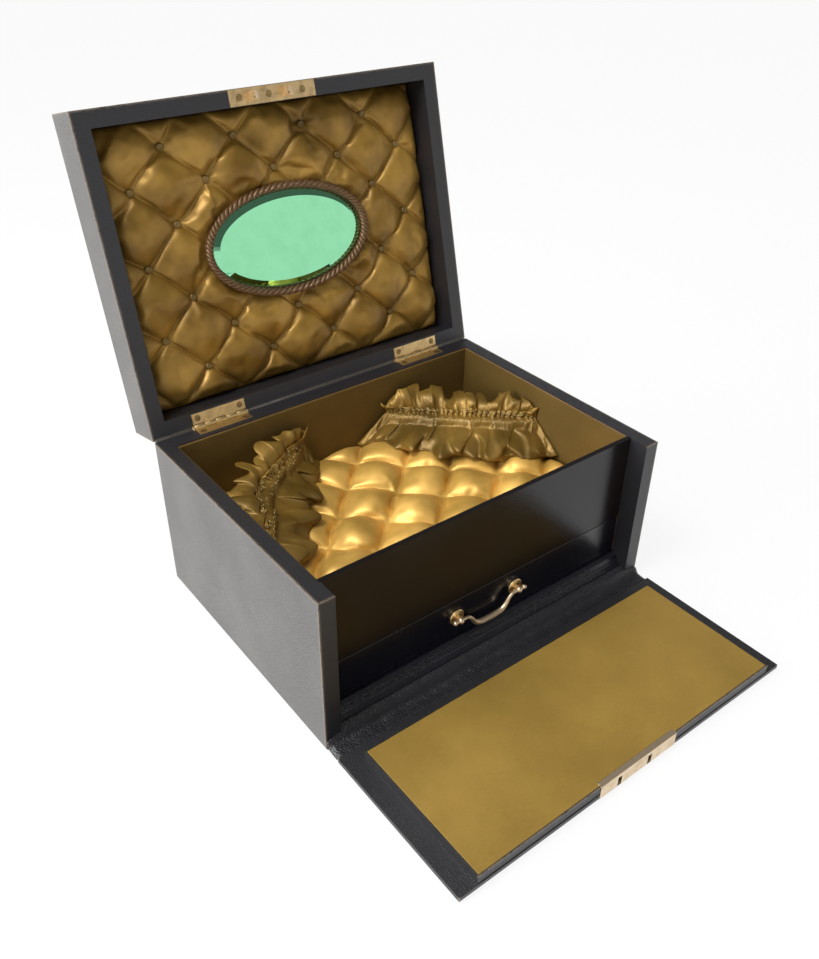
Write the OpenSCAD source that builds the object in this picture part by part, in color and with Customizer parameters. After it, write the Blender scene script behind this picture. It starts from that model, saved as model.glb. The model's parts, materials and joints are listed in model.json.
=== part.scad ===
// Leather-covered vanity and jewellery box: a lid with a buttoned quilt and an oval mirror,
// a silk-lined compartment over one drawer, and a fall front that locks up into the lid.
// The box stands open: lid back on its stop, fall front flat on the table, drawer shut.
// X runs along the front, +Y to the back, +Z up; the origin is the middle of the base.

/* [Case] */
// Width of the case over the leather
case_w = 260; // [230:1:300]
// Depth of the case from the cheek fronts to the back
case_d = 192; // [176:1:220]
// Height of the case without the lid
case_h = 111; // [104:1:130]
// Thickness of the wooden sides
side_t = 9.2; // [8:0.1:12]
// Thickness of the wooden back
back_t = 11.8; // [10.5:0.1:14]
// Thickness of the bottom board
base_t = 8.4; // [7:0.1:9.5]
// Height at which the drawer slides
drawer_z = 19; // [17.5:0.1:21]
// Depth of the front recess between the cheeks
recess_d = 13.6; // [13.4:0.1:16]
// Thickness of the fixed front panel's board
panel_t = 2.6; // [2:0.1:5]
// Thickness of the board under the compartment
floor_t = 4; // [3:0.1:6]
// Rounding of the lower and the back edges
case_round = 3.2; // [2:0.1:5]
// Thickness of the leather
leather_t = 0.8; // [0.6:0.1:1.2]
// Thickness of the leather inside the cheeks
cheek_skin = 0.6; // [0.4:0.1:1]
// How far the base cover stands below the turned-in leather
cover_proud = 0.3; // [0.2:0.05:0.5]

/* [Lining] */
// Thickness of the silk-covered cards
card_t = 1.1; // [0.8:0.1:2]
// How far the cards stop below the rim
card_drop = 1.2; // [0.6:0.1:3]
// Height of the floor pad at its edges
pad_edge_h = 2.6; // [2:0.1:5]
// Height of the floor pad in its tufts
pad_valley_h = 9; // [6:0.1:12]
// Height of the floor pad at its crests
pad_crest_h = 18; // [13:0.1:21]
// Distance between tufts in one row of the pad
pad_pitch_x = 47.5; // [40:0.5:60]
// Distance between rows of tufts of the pad
pad_pitch_y = 22.7; // [18:0.1:30]
// Height of the pouches' elastic bands above the compartment floor
band_h = 31; // [26:0.5:36]
// Height of the ruffle over the band
ruffle_h = 13; // [8:0.5:16]
// Distance along the back from the middle to a pouch's hem
hem_back_x = 16; // [10:0.5:24]
// Distance along a side from the back lining to a pouch's hem
hem_side_y = 112; // [90:0.5:122]

/* [Drawer] */
// Height of the drawer front
drawer_h = 29.4; // [26:0.1:34]
// Gap around the drawer front
drawer_gap = 0.6; // [0.4:0.1:1]
// Gap under the drawer
drawer_run = 0.3; // [0.25:0.05:0.6]
// Thickness of the drawer front's board
drawer_front_t = 6; // [5:0.1:8]
// Thickness of the drawer's sides and back
drawer_side_t = 5; // [4:0.1:7]
// Thickness of the drawer's bottom
drawer_bottom_t = 2.6; // [2:0.1:4]
// Distance between the handle's rosettes
handle_span = 48.4; // [40:0.1:60]
// Drop of the bail below its pivots
bail_drop = 10; // [8:0.1:10.8]
// Radius of the rosettes
rosette_r = 5.6; // [5:0.1:7]
// Distance of the bail's pivots from the drawer front
pivot_out = 4.6; // [4.4:0.05:4.7]

/* [Lid] */
// Height of the lid's sides
lid_side_h = 29; // [27:0.1:36]
// Rise of the bevelled top over the sides
lid_crown = 7; // [5:0.1:9]
// Width of the bevel around the top
lid_bevel = 14; // [10:0.1:20]
// Width of the lid's rim
rim_w = 10.5; // [10:0.1:12]
// Depth of the hollow under the lid's board
lid_hollow = 26.4; // [25:0.1:27]
// Opening angle of the lid at its stop
lid_open = 103.5; // [95:0.5:115]
// Gap between the closed lid and the case
lid_gap = 0.4; // [0.3:0.05:0.6]

/* [Quilt and mirror] */
// Depth of the quilt's edges below the rim
quilt_edge = 21.5; // [18:0.1:23]
// Depth of the quilt's buttons below the rim
quilt_valley = 16; // [14.5:0.1:19]
// Depth of the quilt's crests below the rim
quilt_crest = 12.5; // [11:0.1:14]
// Distance between buttons in one row
quilt_pitch_x = 50; // [42:0.5:56]
// Distance between rows of buttons
quilt_pitch_y = 23.1; // [20:0.1:24]
// Distance of the mirror's middle from the hinge line
mirror_up = 102; // [98:0.5:104]
// Width of the mirror over the rope
mirror_w = 125.8; // [100:0.5:132]
// Height of the mirror over the rope
mirror_h = 73.6; // [60:0.5:84]
// Thickness of the rope frame
rope_d = 5.4; // [4:0.1:6]
// Depth of the rope's crown below the rim
rope_sink = 7.8; // [6.6:0.1:8.4]
// Thickness of the mirror glass
glass_t = 2.8; // [2:0.1:3.2]
// Thickness of the card behind the mirror
mirror_card_t = 1.4; // [1:0.1:2]
// Radius of the quilt's buttons
button_r = 2.6; // [2:0.1:3.4]

/* [Fall front] */
// Thickness of the fall front's board over the leather
flap_t = 5.2; // [4.8:0.1:6]
// Height of the closed fall front's foot above the base
flap_foot = 6; // [5.5:0.1:8]
// Height of the raised plinth over the board
plinth_h = 6.4; // [5.5:0.1:6.4]
// Margin beside the plinth
plinth_side = 12; // [11.6:0.1:16]
// Margin under the plinth
plinth_foot = 9; // [8.5:0.1:14]
// Thickness of the silk-covered panel
silk_t = 0.9; // [0.7:0.1:1.4]
// Bevel around the outer face
flap_bevel = 2.4; // [1.5:0.1:3]
// Gap between the closed fall front and the cheeks
flap_gap = 0.4; // [0.3:0.05:0.6]
// Gap between the opened fall front and the table
floor_gap = 0.3; // [0.2:0.05:0.5]
// Thickness of the leather hinge
hinge_leather_t = 1.2; // [0.9:0.1:1.6]

/* [Brass] */
// Length of a butt hinge
hinge_len = 38.6; // [30:0.1:46]
// Distance from the case's side to the middle of each hinge
hinge_inset = 48; // [38:0.5:66]
// Width of a hinge leaf
leaf_w = 9.2; // [8:0.1:10]
// Thickness of the brass plates
plate_t = 1.2; // [1:0.1:1.4]
// Radius of the hinge knuckles
knuckle_r = 1.9; // [1.7:0.05:2.1]
// Radius of the hinge pins
pin_r = 0.95; // [0.8:0.05:1.1]
// Distance between the screws of a leaf
leaf_screws = 30.7; // [24:0.1:34]
// Length of the strike plate and the lock plate
lock_len = 62; // [52:0.5:80]
// Width of the strike plate
strike_w = 10; // [9:0.1:10.4]
// Length of the screws
screw_len = 7.5; // [5:0.1:8.2]
// Radius of the screws' shanks
screw_r = 1.1; // [0.8:0.05:1.4]
// Radius of the screws' heads
head_r = 2.1; // [1.8:0.05:2.6]
// Thickness of a staple
staple_t = 1.6; // [1.2:0.1:2]
// Depth of a staple below the lid's rim
staple_h = 8; // [7:0.1:9]
// Length of the bolt's throw
bolt_throw = 4; // [3:0.1:4.5]
// Depth of the lock case below the top edge
lock_h = 21; // [18:0.1:26]
// Length of the lock case
lock_case_len = 48; // [44:0.5:52]

/* [Hidden] */
$fn = 48;

// A hair more than nothing, so that a cut passes clear through a face
cut = 0.05;
// Room between pieces that meet without touching
slack = 0.2;
// Running clearance of a pin in its bore
run = 0.05;

// Case: faces that everything else seats on
front_y = -case_d / 2;
back_y = case_d / 2;
half_w = case_w / 2;
inner_x = half_w - leather_t - side_t;
cheek_x = inner_x - cheek_skin;
inner_back_y = back_y - leather_t - back_t;
board_back_y = back_y - leather_t;
panel_y = front_y + recess_d;
panel_board_y = panel_y + leather_t;
panel_in_y = panel_board_y + panel_t;
floor_z = drawer_z + drawer_h + drawer_gap;
floor_top = floor_z + floor_t;
board_top = case_h - leather_t;
card_top = case_h - card_drop;
bed_z = leather_t + base_t;
bed_top = drawer_z - drawer_run;

// Lining: the room inside the cards
room_x = inner_x - card_t;
room_front = panel_in_y + card_t;
room_back = inner_back_y - card_t;

// Fall front in its closed place, and the fold that it turns about
flap_in_y = front_y - flap_gap;
flap_out_y = flap_in_y - flap_t;
fold_y = flap_out_y - floor_gap;
plinth_face_y = flap_in_y + plinth_h;
plinth_x = half_w - plinth_side;
plinth_z = flap_foot + plinth_foot;
plinth_top = case_h - 0.4;
silk_inset = 0.9;

// Lid in its closed place, and the pin line that it turns about
pin_y = back_y;
pin_z = case_h + lid_gap / 2;
rim_z = case_h + lid_gap;
lid_front_y = flap_out_y;
lid_top_z = rim_z + lid_side_h + lid_crown;
lid_in_x = half_w - rim_w;
lid_in_front = lid_front_y + rim_w;
lid_in_back = back_y - rim_w;
lid_board_z = rim_z + lid_hollow;
rail_in_x = lid_in_x + cheek_skin;
rail_in_front = lid_in_front - cheek_skin;
rail_in_back = lid_in_back + cheek_skin;

// Mirror
mirror_y = back_y - mirror_up;
rope_r = rope_d / 2;
rope_a = mirror_w / 2 - rope_r;
rope_b = mirror_h / 2 - rope_r;
rope_z = rim_z + rope_sink + rope_r;
mirror_card_z = rope_z + rope_r + 0.1;
glass_gap = 0.5;
glass_bevel = 4.4;
glass_edge_t = glass_t / 2;

// Hinges and screws
hinge_x = half_w - hinge_inset;
knuckles = 5;
knuckle_gap = 0.15;
knuckle_pitch = hinge_len / knuckles;
knuckle_room = 0.5;
screw_in = leaf_w - 3.4;
bore_r = pin_r + run;

// Lock and strike, placed along the box
strike_y = lid_front_y + rim_w / 2;
staple_x = [-15.5, 9];
strike_screw_x = [-lock_len / 2 + 7, -lock_len / 2 + 28, lock_len / 2 - 9.5];
staple_w = 5.4;
slot_side = 0.7;
lock_y = strike_y;
lock_plate_front = flap_out_y + 1.6;
lock_plate_t = 1.0;
lock_lip = 3.4;
lock_case_t = 7.4;
lock_wall = 0.9;
lock_roof_z = case_h - lock_plate_t;
bolt_t = 1.8;
bolt_bar_h = 3.2;
bolt_z = lock_roof_z - 3.5;
eye_r = 1.7;
key_z = case_h - lock_h + 7;
key_r = 1.8;
key_slot = [1.6, 5];
escutcheon_size = [13, 17];
escutcheon_t = 0.6;

// Drawer
drawer_x = cheek_x - drawer_gap;
drawer_face_y = panel_y;
drawer_board_y = drawer_face_y + leather_t;
drawer_in_y = drawer_board_y + drawer_front_t;
drawer_end_y = inner_back_y - 2;
drawer_top = drawer_z + drawer_h;
drawer_wall_top = drawer_top - 2.4;
drawer_lining_t = 0.8;

// Handle
handle_z = drawer_z + 16;
pivot_y = drawer_face_y - pivot_out;
post_x = handle_span / 2;
bail_pin_r = 1.15;
bail_bore_r = bail_pin_r + run;
bail_r = 1.95;
post_head_r = 2.3;
ball_r = 1.7;

// Opened places of the two moving panels
module opened_lid() {
    translate([0, pin_y, pin_z]) rotate([-lid_open, 0, 0]) translate([0, -pin_y, -pin_z])
        children();
}

module opened_front() {
    translate([0, fold_y, 0]) rotate([90, 0, 0]) translate([0, -fold_y, 0]) children();
}

// A block between two corners
module block(low, high) {
    translate(low) cube(high - low);
}

// A profile given across Y and Z, drawn out along X between two places
module along_x(x0, x1, points) {
    translate([x0, 0, 0]) rotate([90, 0, 90]) linear_extrude(x1 - x0) polygon(points);
}

module mirrored_x() {
    children();
    mirror([1, 0, 0]) children();
}

// Rectangle with two rounded corners at its low or high end, as true arcs
module rounded_end(x0, x1, y0, y1, r) {
    translate([x0, y0 + r]) square([x1 - x0, y1 - y0 - r]);
    translate([x0 + r, y0]) square([x1 - x0 - 2 * r, r + cut]);
    for (x = [x0 + r, x1 - r]) translate([x, y0 + r]) circle(r);
}

// The case's outer form, set in by a skin: round below and at the back corners
module case_form(inset) {
    r = max(case_round - inset, 0.4);
    x = half_w - inset;
    low = inset > 0 ? leather_t : 0;
    intersection() {
        translate([0, board_back_y + leather_t - inset, 0]) rotate([90, 0, 0])
            linear_extrude(case_d - 2 * inset) rounded_end(-x, x, low, case_h - inset, r);
        mirror([0, 1, 0]) linear_extrude(case_h + cut)
            rounded_end(-x, x, -(back_y - inset), -(front_y + inset), r);
    }
}

// Screws: a countersunk head at z 0, the shank hanging below
module screw_solid(grow = 0) {
    rotate_extrude() polygon([
        [0, 0.01], [head_r + grow, 0.01], [head_r + grow, -0.25], [screw_r + grow, -plate_t],
        [screw_r + grow, -screw_len - grow], [0, -screw_len - grow]]);
}

module slotted_screw() {
    difference() {
        screw_solid();
        translate([0, 0, 0.2]) cube([2 * head_r + 1, 0.5, 1], center = true);
    }
}

module at_case_screws() {
    for (side = [-1, 1], along = [-1, 1])
        translate([side * hinge_x + along * leaf_screws / 2, back_y - screw_in, case_h])
            children();
}

module at_lid_screws() {
    for (side = [-1, 1], along = [-1, 1])
        translate([side * hinge_x + along * leaf_screws / 2, back_y - screw_in, rim_z])
            rotate([180, 0, 0]) children();
}

module at_strike_screws() {
    for (x = strike_screw_x) translate([x, strike_y, rim_z]) rotate([180, 0, 0]) children();
}

// Room for the hinge knuckles in wood and leather
module knuckle_rooms() {
    for (side = [-1, 1])
        translate([side * hinge_x - hinge_len / 2 - 1.2, pin_y, pin_z]) rotate([0, 90, 0])
            cylinder(r = knuckle_r + knuckle_room, h = hinge_len + 2.4);
}

module case_leaf_beds() {
    for (side = [-1, 1])
        block([side * hinge_x - hinge_len / 2, back_y - leaf_w, case_h - plate_t],
            [side * hinge_x + hinge_len / 2, back_y + 1, case_h + 1]);
}

module lid_leaf_beds() {
    for (side = [-1, 1])
        block([side * hinge_x - hinge_len / 2, back_y - leaf_w, rim_z - 1],
            [side * hinge_x + hinge_len / 2, back_y + 1, rim_z + plate_t]);
}

// One leaf with every second knuckle, lying under z 0 with the pin line at its edge
module leaf(first, plate_low, plate_high) {
    difference() {
        union() {
            difference() {
                block([-hinge_len / 2, -leaf_w, plate_low], [hinge_len / 2, 0, plate_high]);
                for (k = [0 : knuckles - 1]) if (k % 2 != first)
                    translate([-hinge_len / 2 + (k - 0.02) * knuckle_pitch, 0, 0])
                        rotate([0, 90, 0]) cylinder(r = knuckle_r + 0.35, h = knuckle_pitch * 1.04);
            }
            for (k = [first : 2 : knuckles - 1])
                translate([-hinge_len / 2 + k * knuckle_pitch + knuckle_gap, 0, 0])
                    rotate([0, 90, 0])
                        cylinder(r = knuckle_r, h = knuckle_pitch - 2 * knuckle_gap);
        }
        translate([-hinge_len, 0, 0]) rotate([0, 90, 0]) cylinder(r = bore_r, h = 2 * hinge_len);
    }
}

// Case
module base_cover() {
    color("#1c1a1c") block([-half_w + case_round, front_y + leather_t, 0],
        [half_w - case_round, back_y - case_round, leather_t]);
}

module base_board() {
    color("#8a6a45") block([-inner_x, front_y + leather_t, leather_t],
        [inner_x, inner_back_y, bed_z]);
}

module drawer_bed() {
    color("#93714a") block([-inner_x, panel_board_y, bed_z], [inner_x, inner_back_y, bed_top]);
}

// Front sill: a narrow ledge under the drawer, a groove, then a slope down to the fold
module sill_rail() {
    top = bed_top;
    y = front_y;
    color("#1d1b1d") along_x(-cheek_x, cheek_x, [
        [panel_board_y, bed_z], [panel_board_y, top], [panel_y - 1.6, top],
        [panel_y - 3.6, top - 1.6], [panel_y - 4.6, top - 4.4], [panel_y - 5.2, top - 4.6],
        [panel_y - 6, top - 5.6], [y + 4, bed_z + 1], [y + leather_t + 0.1, bed_z]]);
}

module side_board() {
    difference() {
        intersection() {
            case_form(leather_t);
            block([inner_x, front_y, 0], [half_w, back_y, case_h]);
        }
        knuckle_rooms();
    }
}

module left_side_board() {
    color("#7d5f3e") mirror([1, 0, 0]) side_board();
}

module right_side_board() {
    color("#7d5f3e") side_board();
}

module back_board() {
    color("#85653f") difference() {
        block([-inner_x, inner_back_y, leather_t], [inner_x, board_back_y, board_top]);
        knuckle_rooms();
        case_leaf_beds();
        at_case_screws() screw_solid(run);
    }
}

module front_panel_board() {
    color("#7d5f3e") block([-inner_x, panel_board_y, floor_z], [inner_x, panel_in_y, board_top]);
}

module compartment_floor() {
    color("#93714a") block([-inner_x, panel_in_y, floor_z], [inner_x, inner_back_y, floor_top]);
}

// The leather over sides, back, rim and cheeks, with a strip under the fold, in one piece
module case_leather() {
    color("#2a292c") difference() {
        union() {
            difference() {
                case_form(0);
                case_form(leather_t);
                block([-inner_x, front_y - 1, -1], [inner_x, inner_back_y, case_h + 1]);
                block([-inner_x, inner_back_y - 1, leather_t],
                    [inner_x, board_back_y, board_top]);
            }
            mirrored_x() block([cheek_x, front_y, bed_z], [inner_x, panel_y, case_h]);
            block([-inner_x, front_y, cover_proud], [inner_x, front_y + leather_t, bed_z - 3]);
        }
        block([-half_w + case_round, front_y + leather_t, -1],
            [half_w - case_round, back_y - case_round, leather_t]);
        block([-half_w, front_y - 1, -1], [half_w, back_y + 1, cover_proud]);
        case_leaf_beds();
        knuckle_rooms();
        at_case_screws() screw_solid(run);
    }
}

module front_panel_leather() {
    color("#17130f") union() {
        block([-cheek_x, panel_y, floor_z], [cheek_x, panel_board_y, case_h]);
        mirrored_x() block([cheek_x - 1, panel_y + 0.01, floor_z], [inner_x, panel_board_y, case_h]);
        block([-inner_x, panel_board_y - 0.1, board_top], [inner_x, panel_in_y, case_h]);
    }
}

module front_lining() {
    color("#8c6d22") block([-room_x, panel_in_y, floor_top], [room_x, room_front, card_top]);
}

module back_lining() {
    color("#8c6d22") block([-room_x, room_back, floor_top], [room_x, inner_back_y, card_top]);
}

module left_lining() {
    color("#8c6d22") mirror([1, 0, 0]) side_lining();
}

module right_lining() {
    color("#8c6d22") side_lining();
}

module side_lining() {
    block([room_x, panel_in_y, floor_top], [inner_x, inner_back_y, card_top]);
}

// Soft surfaces: the swell of one diamond, and the fall to an edge
function puff(x, y, px, py) =
    let (a = x / px + y / (2 * py), b = x / px - y / (2 * py))
    pow(abs(sin(180 * a) * sin(180 * b)), 0.45);

function rise(t, width) = let (e = max(0, min(1, t / width))) sqrt(1 - (1 - e) * (1 - e));

function edge_rise(x, y, x0, x1, y0, y1, width) =
    rise(min(x - x0, x1 - x), width) * rise(min(y - y0, y1 - y), width);

// Grid lines at even steps from an origin, with a line on each border
function lattice(low, high, origin, step) =
    concat([low],
        [for (k = [ceil((low - origin) / step) : floor((high - origin) / step)])
            let (v = origin + k * step)
            if (v > low + step * 0.4 && v < high - step * 0.4) v],
        [high]);

// A closed skin over a grid of heights; the flat side lies at z flat.
// Each cell is split along its lower diagonal, so that creases stay sharp.
module height_solid(xs, ys, heights, flat) {
    nx = len(xs);
    ny = len(ys);
    n = nx * ny;
    upper = [for (j = [0 : ny - 1], i = [0 : nx - 1]) [xs[i], ys[j], heights[j][i]]];
    ring = concat(
        [for (i = [0 : nx - 1]) i], [for (j = [1 : ny - 1]) j * nx + nx - 1],
        [for (i = [nx - 2 : -1 : 0]) (ny - 1) * nx + i], [for (j = [ny - 2 : -1 : 1]) j * nx]);
    m = len(ring);
    lower = [for (k = ring) [upper[k][0], upper[k][1], flat]];
    middle = [(xs[0] + xs[nx - 1]) / 2, (ys[0] + ys[ny - 1]) / 2, flat];
    top_faces = [for (j = [0 : ny - 2], i = [0 : nx - 2], half = [0, 1])
        let (p = j * nx + i,
            rising = upper[p][2] + upper[p + nx + 1][2] < upper[p + 1][2] + upper[p + nx][2])
        rising ? (half == 0 ? [p, p + nx, p + nx + 1] : [p, p + nx + 1, p + 1])
            : (half == 0 ? [p, p + nx, p + 1] : [p + 1, p + nx, p + nx + 1])];
    side_faces = [for (k = [0 : m - 1], half = [0, 1])
        let (q = (k + 1) % m)
        half == 0 ? [ring[k], ring[q], n + k] : [ring[q], n + q, n + k]];
    bottom_faces = [for (k = [0 : m - 1]) [n + k, n + (k + 1) % m, n + m]];
    polyhedron(concat(upper, lower, [middle]), concat(top_faces, side_faces, bottom_faces));
}

// Floor pad: buttonless diamond tufts, drawn down along the edges
pad_x = room_x - slack;
pad_y0 = room_front + slack;
pad_y1 = room_back - slack;
pad_shift = [2, 14];
pad_fall = 16;

function pad_h(x, y) =
    let (p = puff(x - pad_shift[0], y - pad_shift[1], pad_pitch_x, pad_pitch_y))
    pad_edge_h + edge_rise(x, y, -pad_x, pad_x, pad_y0, pad_y1, pad_fall)
        * (pad_valley_h - pad_edge_h + (pad_crest_h - pad_valley_h) * p);

module floor_pad() {
    xs = lattice(-pad_x, pad_x, pad_shift[0], pad_pitch_x / 8);
    ys = lattice(pad_y0, pad_y1, pad_shift[1], pad_pitch_y / 4);
    color("#c39a45") translate([0, 0, floor_top])
        height_solid(xs, ys, [for (y = ys) [for (x = xs) pad_h(x, y)]], 0);
}

// Corner pouches: a hem on the pad, a gathered band across the corner and a ruffle above it.
// The outline runs from the back lining (s 0) to the side lining (s 1), hem to ruffle (t 0 to 1).
pouch_t = 1.1;
pad_clear = 0.5;
pouch_lean = [0.74, 0.67];
band_back_x = hem_back_x + 17;
band_side_y = hem_side_y - 30;
hem_bow = [41, -2];
band_bow = [66, 36];
band_at = 0.62;

function bow(a, b, c, s) = (1 - s) * (1 - s) * a + 2 * s * (1 - s) * b + s * s * c;

function hem_at(s) =
    bow([hem_back_x, room_back], hem_bow, [room_x, room_back - hem_side_y], s);

function band_at_s(s) =
    bow([band_back_x, room_back], band_bow, [room_x, room_back - band_side_y], s);

function pouch_plan(s, t) =
    let (
        u = min(1, t / band_at),
        over = max(0, (t - band_at) / (1 - band_at)),
        ends = sin(180 * s),
        swell = 9 * sin(180 * pow(u, 0.8)) * ends,
        low_fold = 2.4 * sin(360 * 7.5 * s + 40 * u) * pow(u, 0.7) * (1 - over) * pow(ends, 0.3),
        frill = 3.0 * sin(360 * 13.5 * s) * over * pow(ends, 0.3) - 5 * over * ends)
    hem_at(s) * (1 - u) + band_at_s(s) * u
        - pouch_lean * (swell + low_fold * (u < 0.9 ? 1 : 0.5) - frill);

// Top of the pad around a place, for the pouch on either side
function pad_top(p) =
    floor_top + max([for (side = [-1, 1], dx = [-3, 0, 3], dy = [-3, 0, 3])
        pad_h(side * (p[0] + dx), p[1] + dy)]);

function pouch_z(s, t) =
    let (
        hem = pad_top(hem_at(s)) + pad_clear,
        band = floor_top + band_h - 2.5 * sin(180 * s),
        free = t < band_at ? hem + (band - hem) * t / band_at
            : band + ruffle_h * (t - band_at) / (1 - band_at) * (0.86 + 0.14 * sin(360 * 5 * s)))
    max(free, pad_top(pouch_plan(s, t)) + pad_clear);

function within_room(p) = [min(p[0], room_x), min(p[1], room_back), p[2]];

module pouch() {
    ns = 44;
    nt = 7;
    near = [for (j = [0 : nt], i = [0 : ns])
        let (s = i / ns, t = j / nt, p = pouch_plan(s, t))
        within_room([p[0], p[1], pouch_z(s, t)])];
    far = [for (p = near) p + [pouch_lean[0], pouch_lean[1], 0] * pouch_t];
    n = len(near);
    w = ns + 1;
    sheet = [for (j = [0 : nt - 1], i = [0 : ns - 1], half = [0, 1])
        let (p = j * w + i)
        half == 0 ? [p, p + w, p + 1] : [p + 1, p + w, p + w + 1]];
    other = [for (f = sheet) [f[0] + n, f[2] + n, f[1] + n]];
    rim = concat(
        [for (i = [0 : ns]) i], [for (j = [1 : nt]) j * w + ns],
        [for (i = [ns - 1 : -1 : 0]) nt * w + i], [for (j = [nt - 1 : -1 : 1]) j * w]);
    m = len(rim);
    edge = [for (k = [0 : m - 1], half = [0, 1])
        let (a = rim[k], b = rim[(k + 1) % m])
        half == 0 ? [a, b, a + n] : [b, b + n, a + n]];
    intersection() {
        polyhedron(concat(near, far), concat(sheet, other, edge));
        block([-room_x, room_front, floor_top], [room_x, room_back, case_h - 1]);
    }
}

module left_pouch() {
    color("#9c7a2a") mirror([1, 0, 0]) pouch();
}

module right_pouch() {
    color("#9c7a2a") pouch();
}

module left_hinge_case_leaf() {
    color("#c9a66a") case_leaf(-hinge_x);
}

module right_hinge_case_leaf() {
    color("#c9a66a") case_leaf(hinge_x);
}

module case_leaf(x) {
    low = case_h - plate_t - pin_z;
    difference() {
        translate([x, pin_y, pin_z]) leaf(0, low, low + plate_t);
        at_case_screws() screw_solid(run);
    }
}

module lid_leaf(x) {
    low = rim_z - pin_z;
    difference() {
        translate([x, pin_y, pin_z]) leaf(1, low, low + plate_t);
        at_lid_screws() screw_solid(run);
    }
}

module case_hinge_screws() {
    color("#b3915a") at_case_screws() slotted_screw();
}

module hinge_pins() {
    head = 0.6;
    color("#b3915a") for (side = [-1, 1])
        translate([side * hinge_x - hinge_len / 2, pin_y, pin_z]) rotate([0, 90, 0]) {
            cylinder(r = pin_r, h = hinge_len);
            translate([0, 0, -head]) cylinder(r = knuckle_r * 0.8, h = head);
            translate([0, 0, hinge_len]) cylinder(r = knuckle_r * 0.8, h = head);
        }
}

// The flexible strip that the fall front folds on, from the sill to the foot of the board
module leather_hinge() {
    foot_y = fold_y - flap_foot;
    t = hinge_leather_t;
    y = front_y;
    color("#242226") union() {
        along_x(-cheek_x, cheek_x, [
            [y + 4.2, bed_z + 1.3], [y + 4.2, bed_z + 1.3 + t], [y, bed_z - 1.4 + t],
            [y - 0.2, bed_z - 2.6], [y + 0.6, bed_z - 2.4], [y + 0.7, bed_z + 0.1]]);
        along_x(-half_w, half_w, [
            [y - 0.1, bed_z - 2.6], [y - 0.1, bed_z - 1.6 + t], [y - 3.4, 5.4],
            [y - 6.4, 3.9 + t], [y - 9, 3.6 + t], [foot_y + 0.1, flap_t - 0.9 + t],
            [foot_y + 0.1, flap_t - 0.9], [y - 9, 3.6], [y - 6.4, 3.9], [y - 3.6, 4.2]]);
    }
}

// Lid, built closed and then turned open
module lid_section_y(inset) {
    z0 = rim_z + inset;
    z1 = rim_z + lid_side_h;
    z2 = lid_top_z - inset;
    polygon([
        [lid_front_y + inset, z0], [back_y - inset, z0], [back_y - inset, z1],
        [back_y - lid_bevel, z2], [lid_front_y + lid_bevel, z2], [lid_front_y + inset, z1]]);
}

module lid_section_x(inset) {
    x = half_w - inset;
    z0 = rim_z + inset;
    z1 = rim_z + lid_side_h;
    z2 = lid_top_z - inset;
    polygon([[-x, z0], [x, z0], [x, z1], [half_w - lid_bevel, z2], [lid_bevel - half_w, z2], [-x, z1]]);
}

module lid_form(inset) {
    intersection() {
        translate([-case_w, 0, 0]) rotate([90, 0, 90]) linear_extrude(2 * case_w)
            lid_section_y(inset);
        translate([0, case_d, 0]) rotate([90, 0, 0]) linear_extrude(2 * case_d)
            lid_section_x(inset);
    }
}

// The part of the lid's wooden core between two corners, under its board
module lid_rail(low, high) {
    difference() {
        intersection() {
            lid_form(leather_t);
            block([low[0], low[1], rim_z], [high[0], high[1], lid_board_z]);
        }
        knuckle_rooms();
        lid_leaf_beds();
        strike_bed();
        at_lid_screws() screw_solid(run);
        at_strike_screws() screw_solid(run);
    }
}

module strike_bed() {
    block([-lock_len / 2, strike_y - strike_w / 2, rim_z - 1],
        [lock_len / 2, strike_y + strike_w / 2, rim_z + plate_t]);
}

module lid_front_rail() {
    color("#7d5f3e") opened_lid()
        lid_rail([-half_w, lid_front_y], [half_w, rail_in_front]);
}

module lid_back_rail() {
    color("#7d5f3e") opened_lid() lid_rail([-half_w, rail_in_back], [half_w, back_y]);
}

module lid_left_rail() {
    color("#85653f") opened_lid() lid_rail([-half_w, rail_in_front], [-rail_in_x, rail_in_back]);
}

module lid_right_rail() {
    color("#85653f") opened_lid() lid_rail([rail_in_x, rail_in_front], [half_w, rail_in_back]);
}

module lid_board() {
    color("#93714a") opened_lid() intersection() {
        lid_form(leather_t);
        block([-half_w, lid_front_y, lid_board_z], [half_w, back_y, lid_top_z]);
    }
}

// Leather over the top, sides and rim, turned into the hollow
module lid_leather() {
    color("#29282b") opened_lid() difference() {
        lid_form(0);
        difference() {
            lid_form(leather_t);
            difference() {
                block([-rail_in_x, rail_in_front, rim_z - 1], [rail_in_x, rail_in_back, lid_board_z]);
                block([-lid_in_x, lid_in_front, rim_z - 2], [lid_in_x, lid_in_back, lid_board_z + 1]);
            }
        }
        block([-lid_in_x, lid_in_front, rim_z - 1], [lid_in_x, lid_in_back, lid_board_z]);
        knuckle_rooms();
        lid_leaf_beds();
        strike_bed();
        at_lid_screws() screw_solid(run);
        at_strike_screws() screw_solid(run);
    }
}

// Quilt: a buttoned pad that fills the lid's hollow
quilt_fall = 17;
quilt_x = lid_in_x - slack;
quilt_y0 = lid_in_front + slack;
quilt_y1 = lid_in_back - slack;

function in_mirror(x, y, grow) =
    pow(x / (rope_a + grow), 2) + pow((y - mirror_y) / (rope_b + grow), 2) < 1;

function quilt_depth(x, y) =
    let (
        swell = edge_rise(x, y, -quilt_x, quilt_x, quilt_y0, quilt_y1, quilt_fall),
        p = puff(x, y - mirror_y, quilt_pitch_x, quilt_pitch_y),
        d = quilt_edge - swell * (quilt_edge - quilt_valley + (quilt_valley - quilt_crest) * p),
        seat = mirror_card_z + mirror_card_t + 0.2 - rim_z)
    in_mirror(x, y, rope_r + 3) ? max(d, seat) : d;

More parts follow.
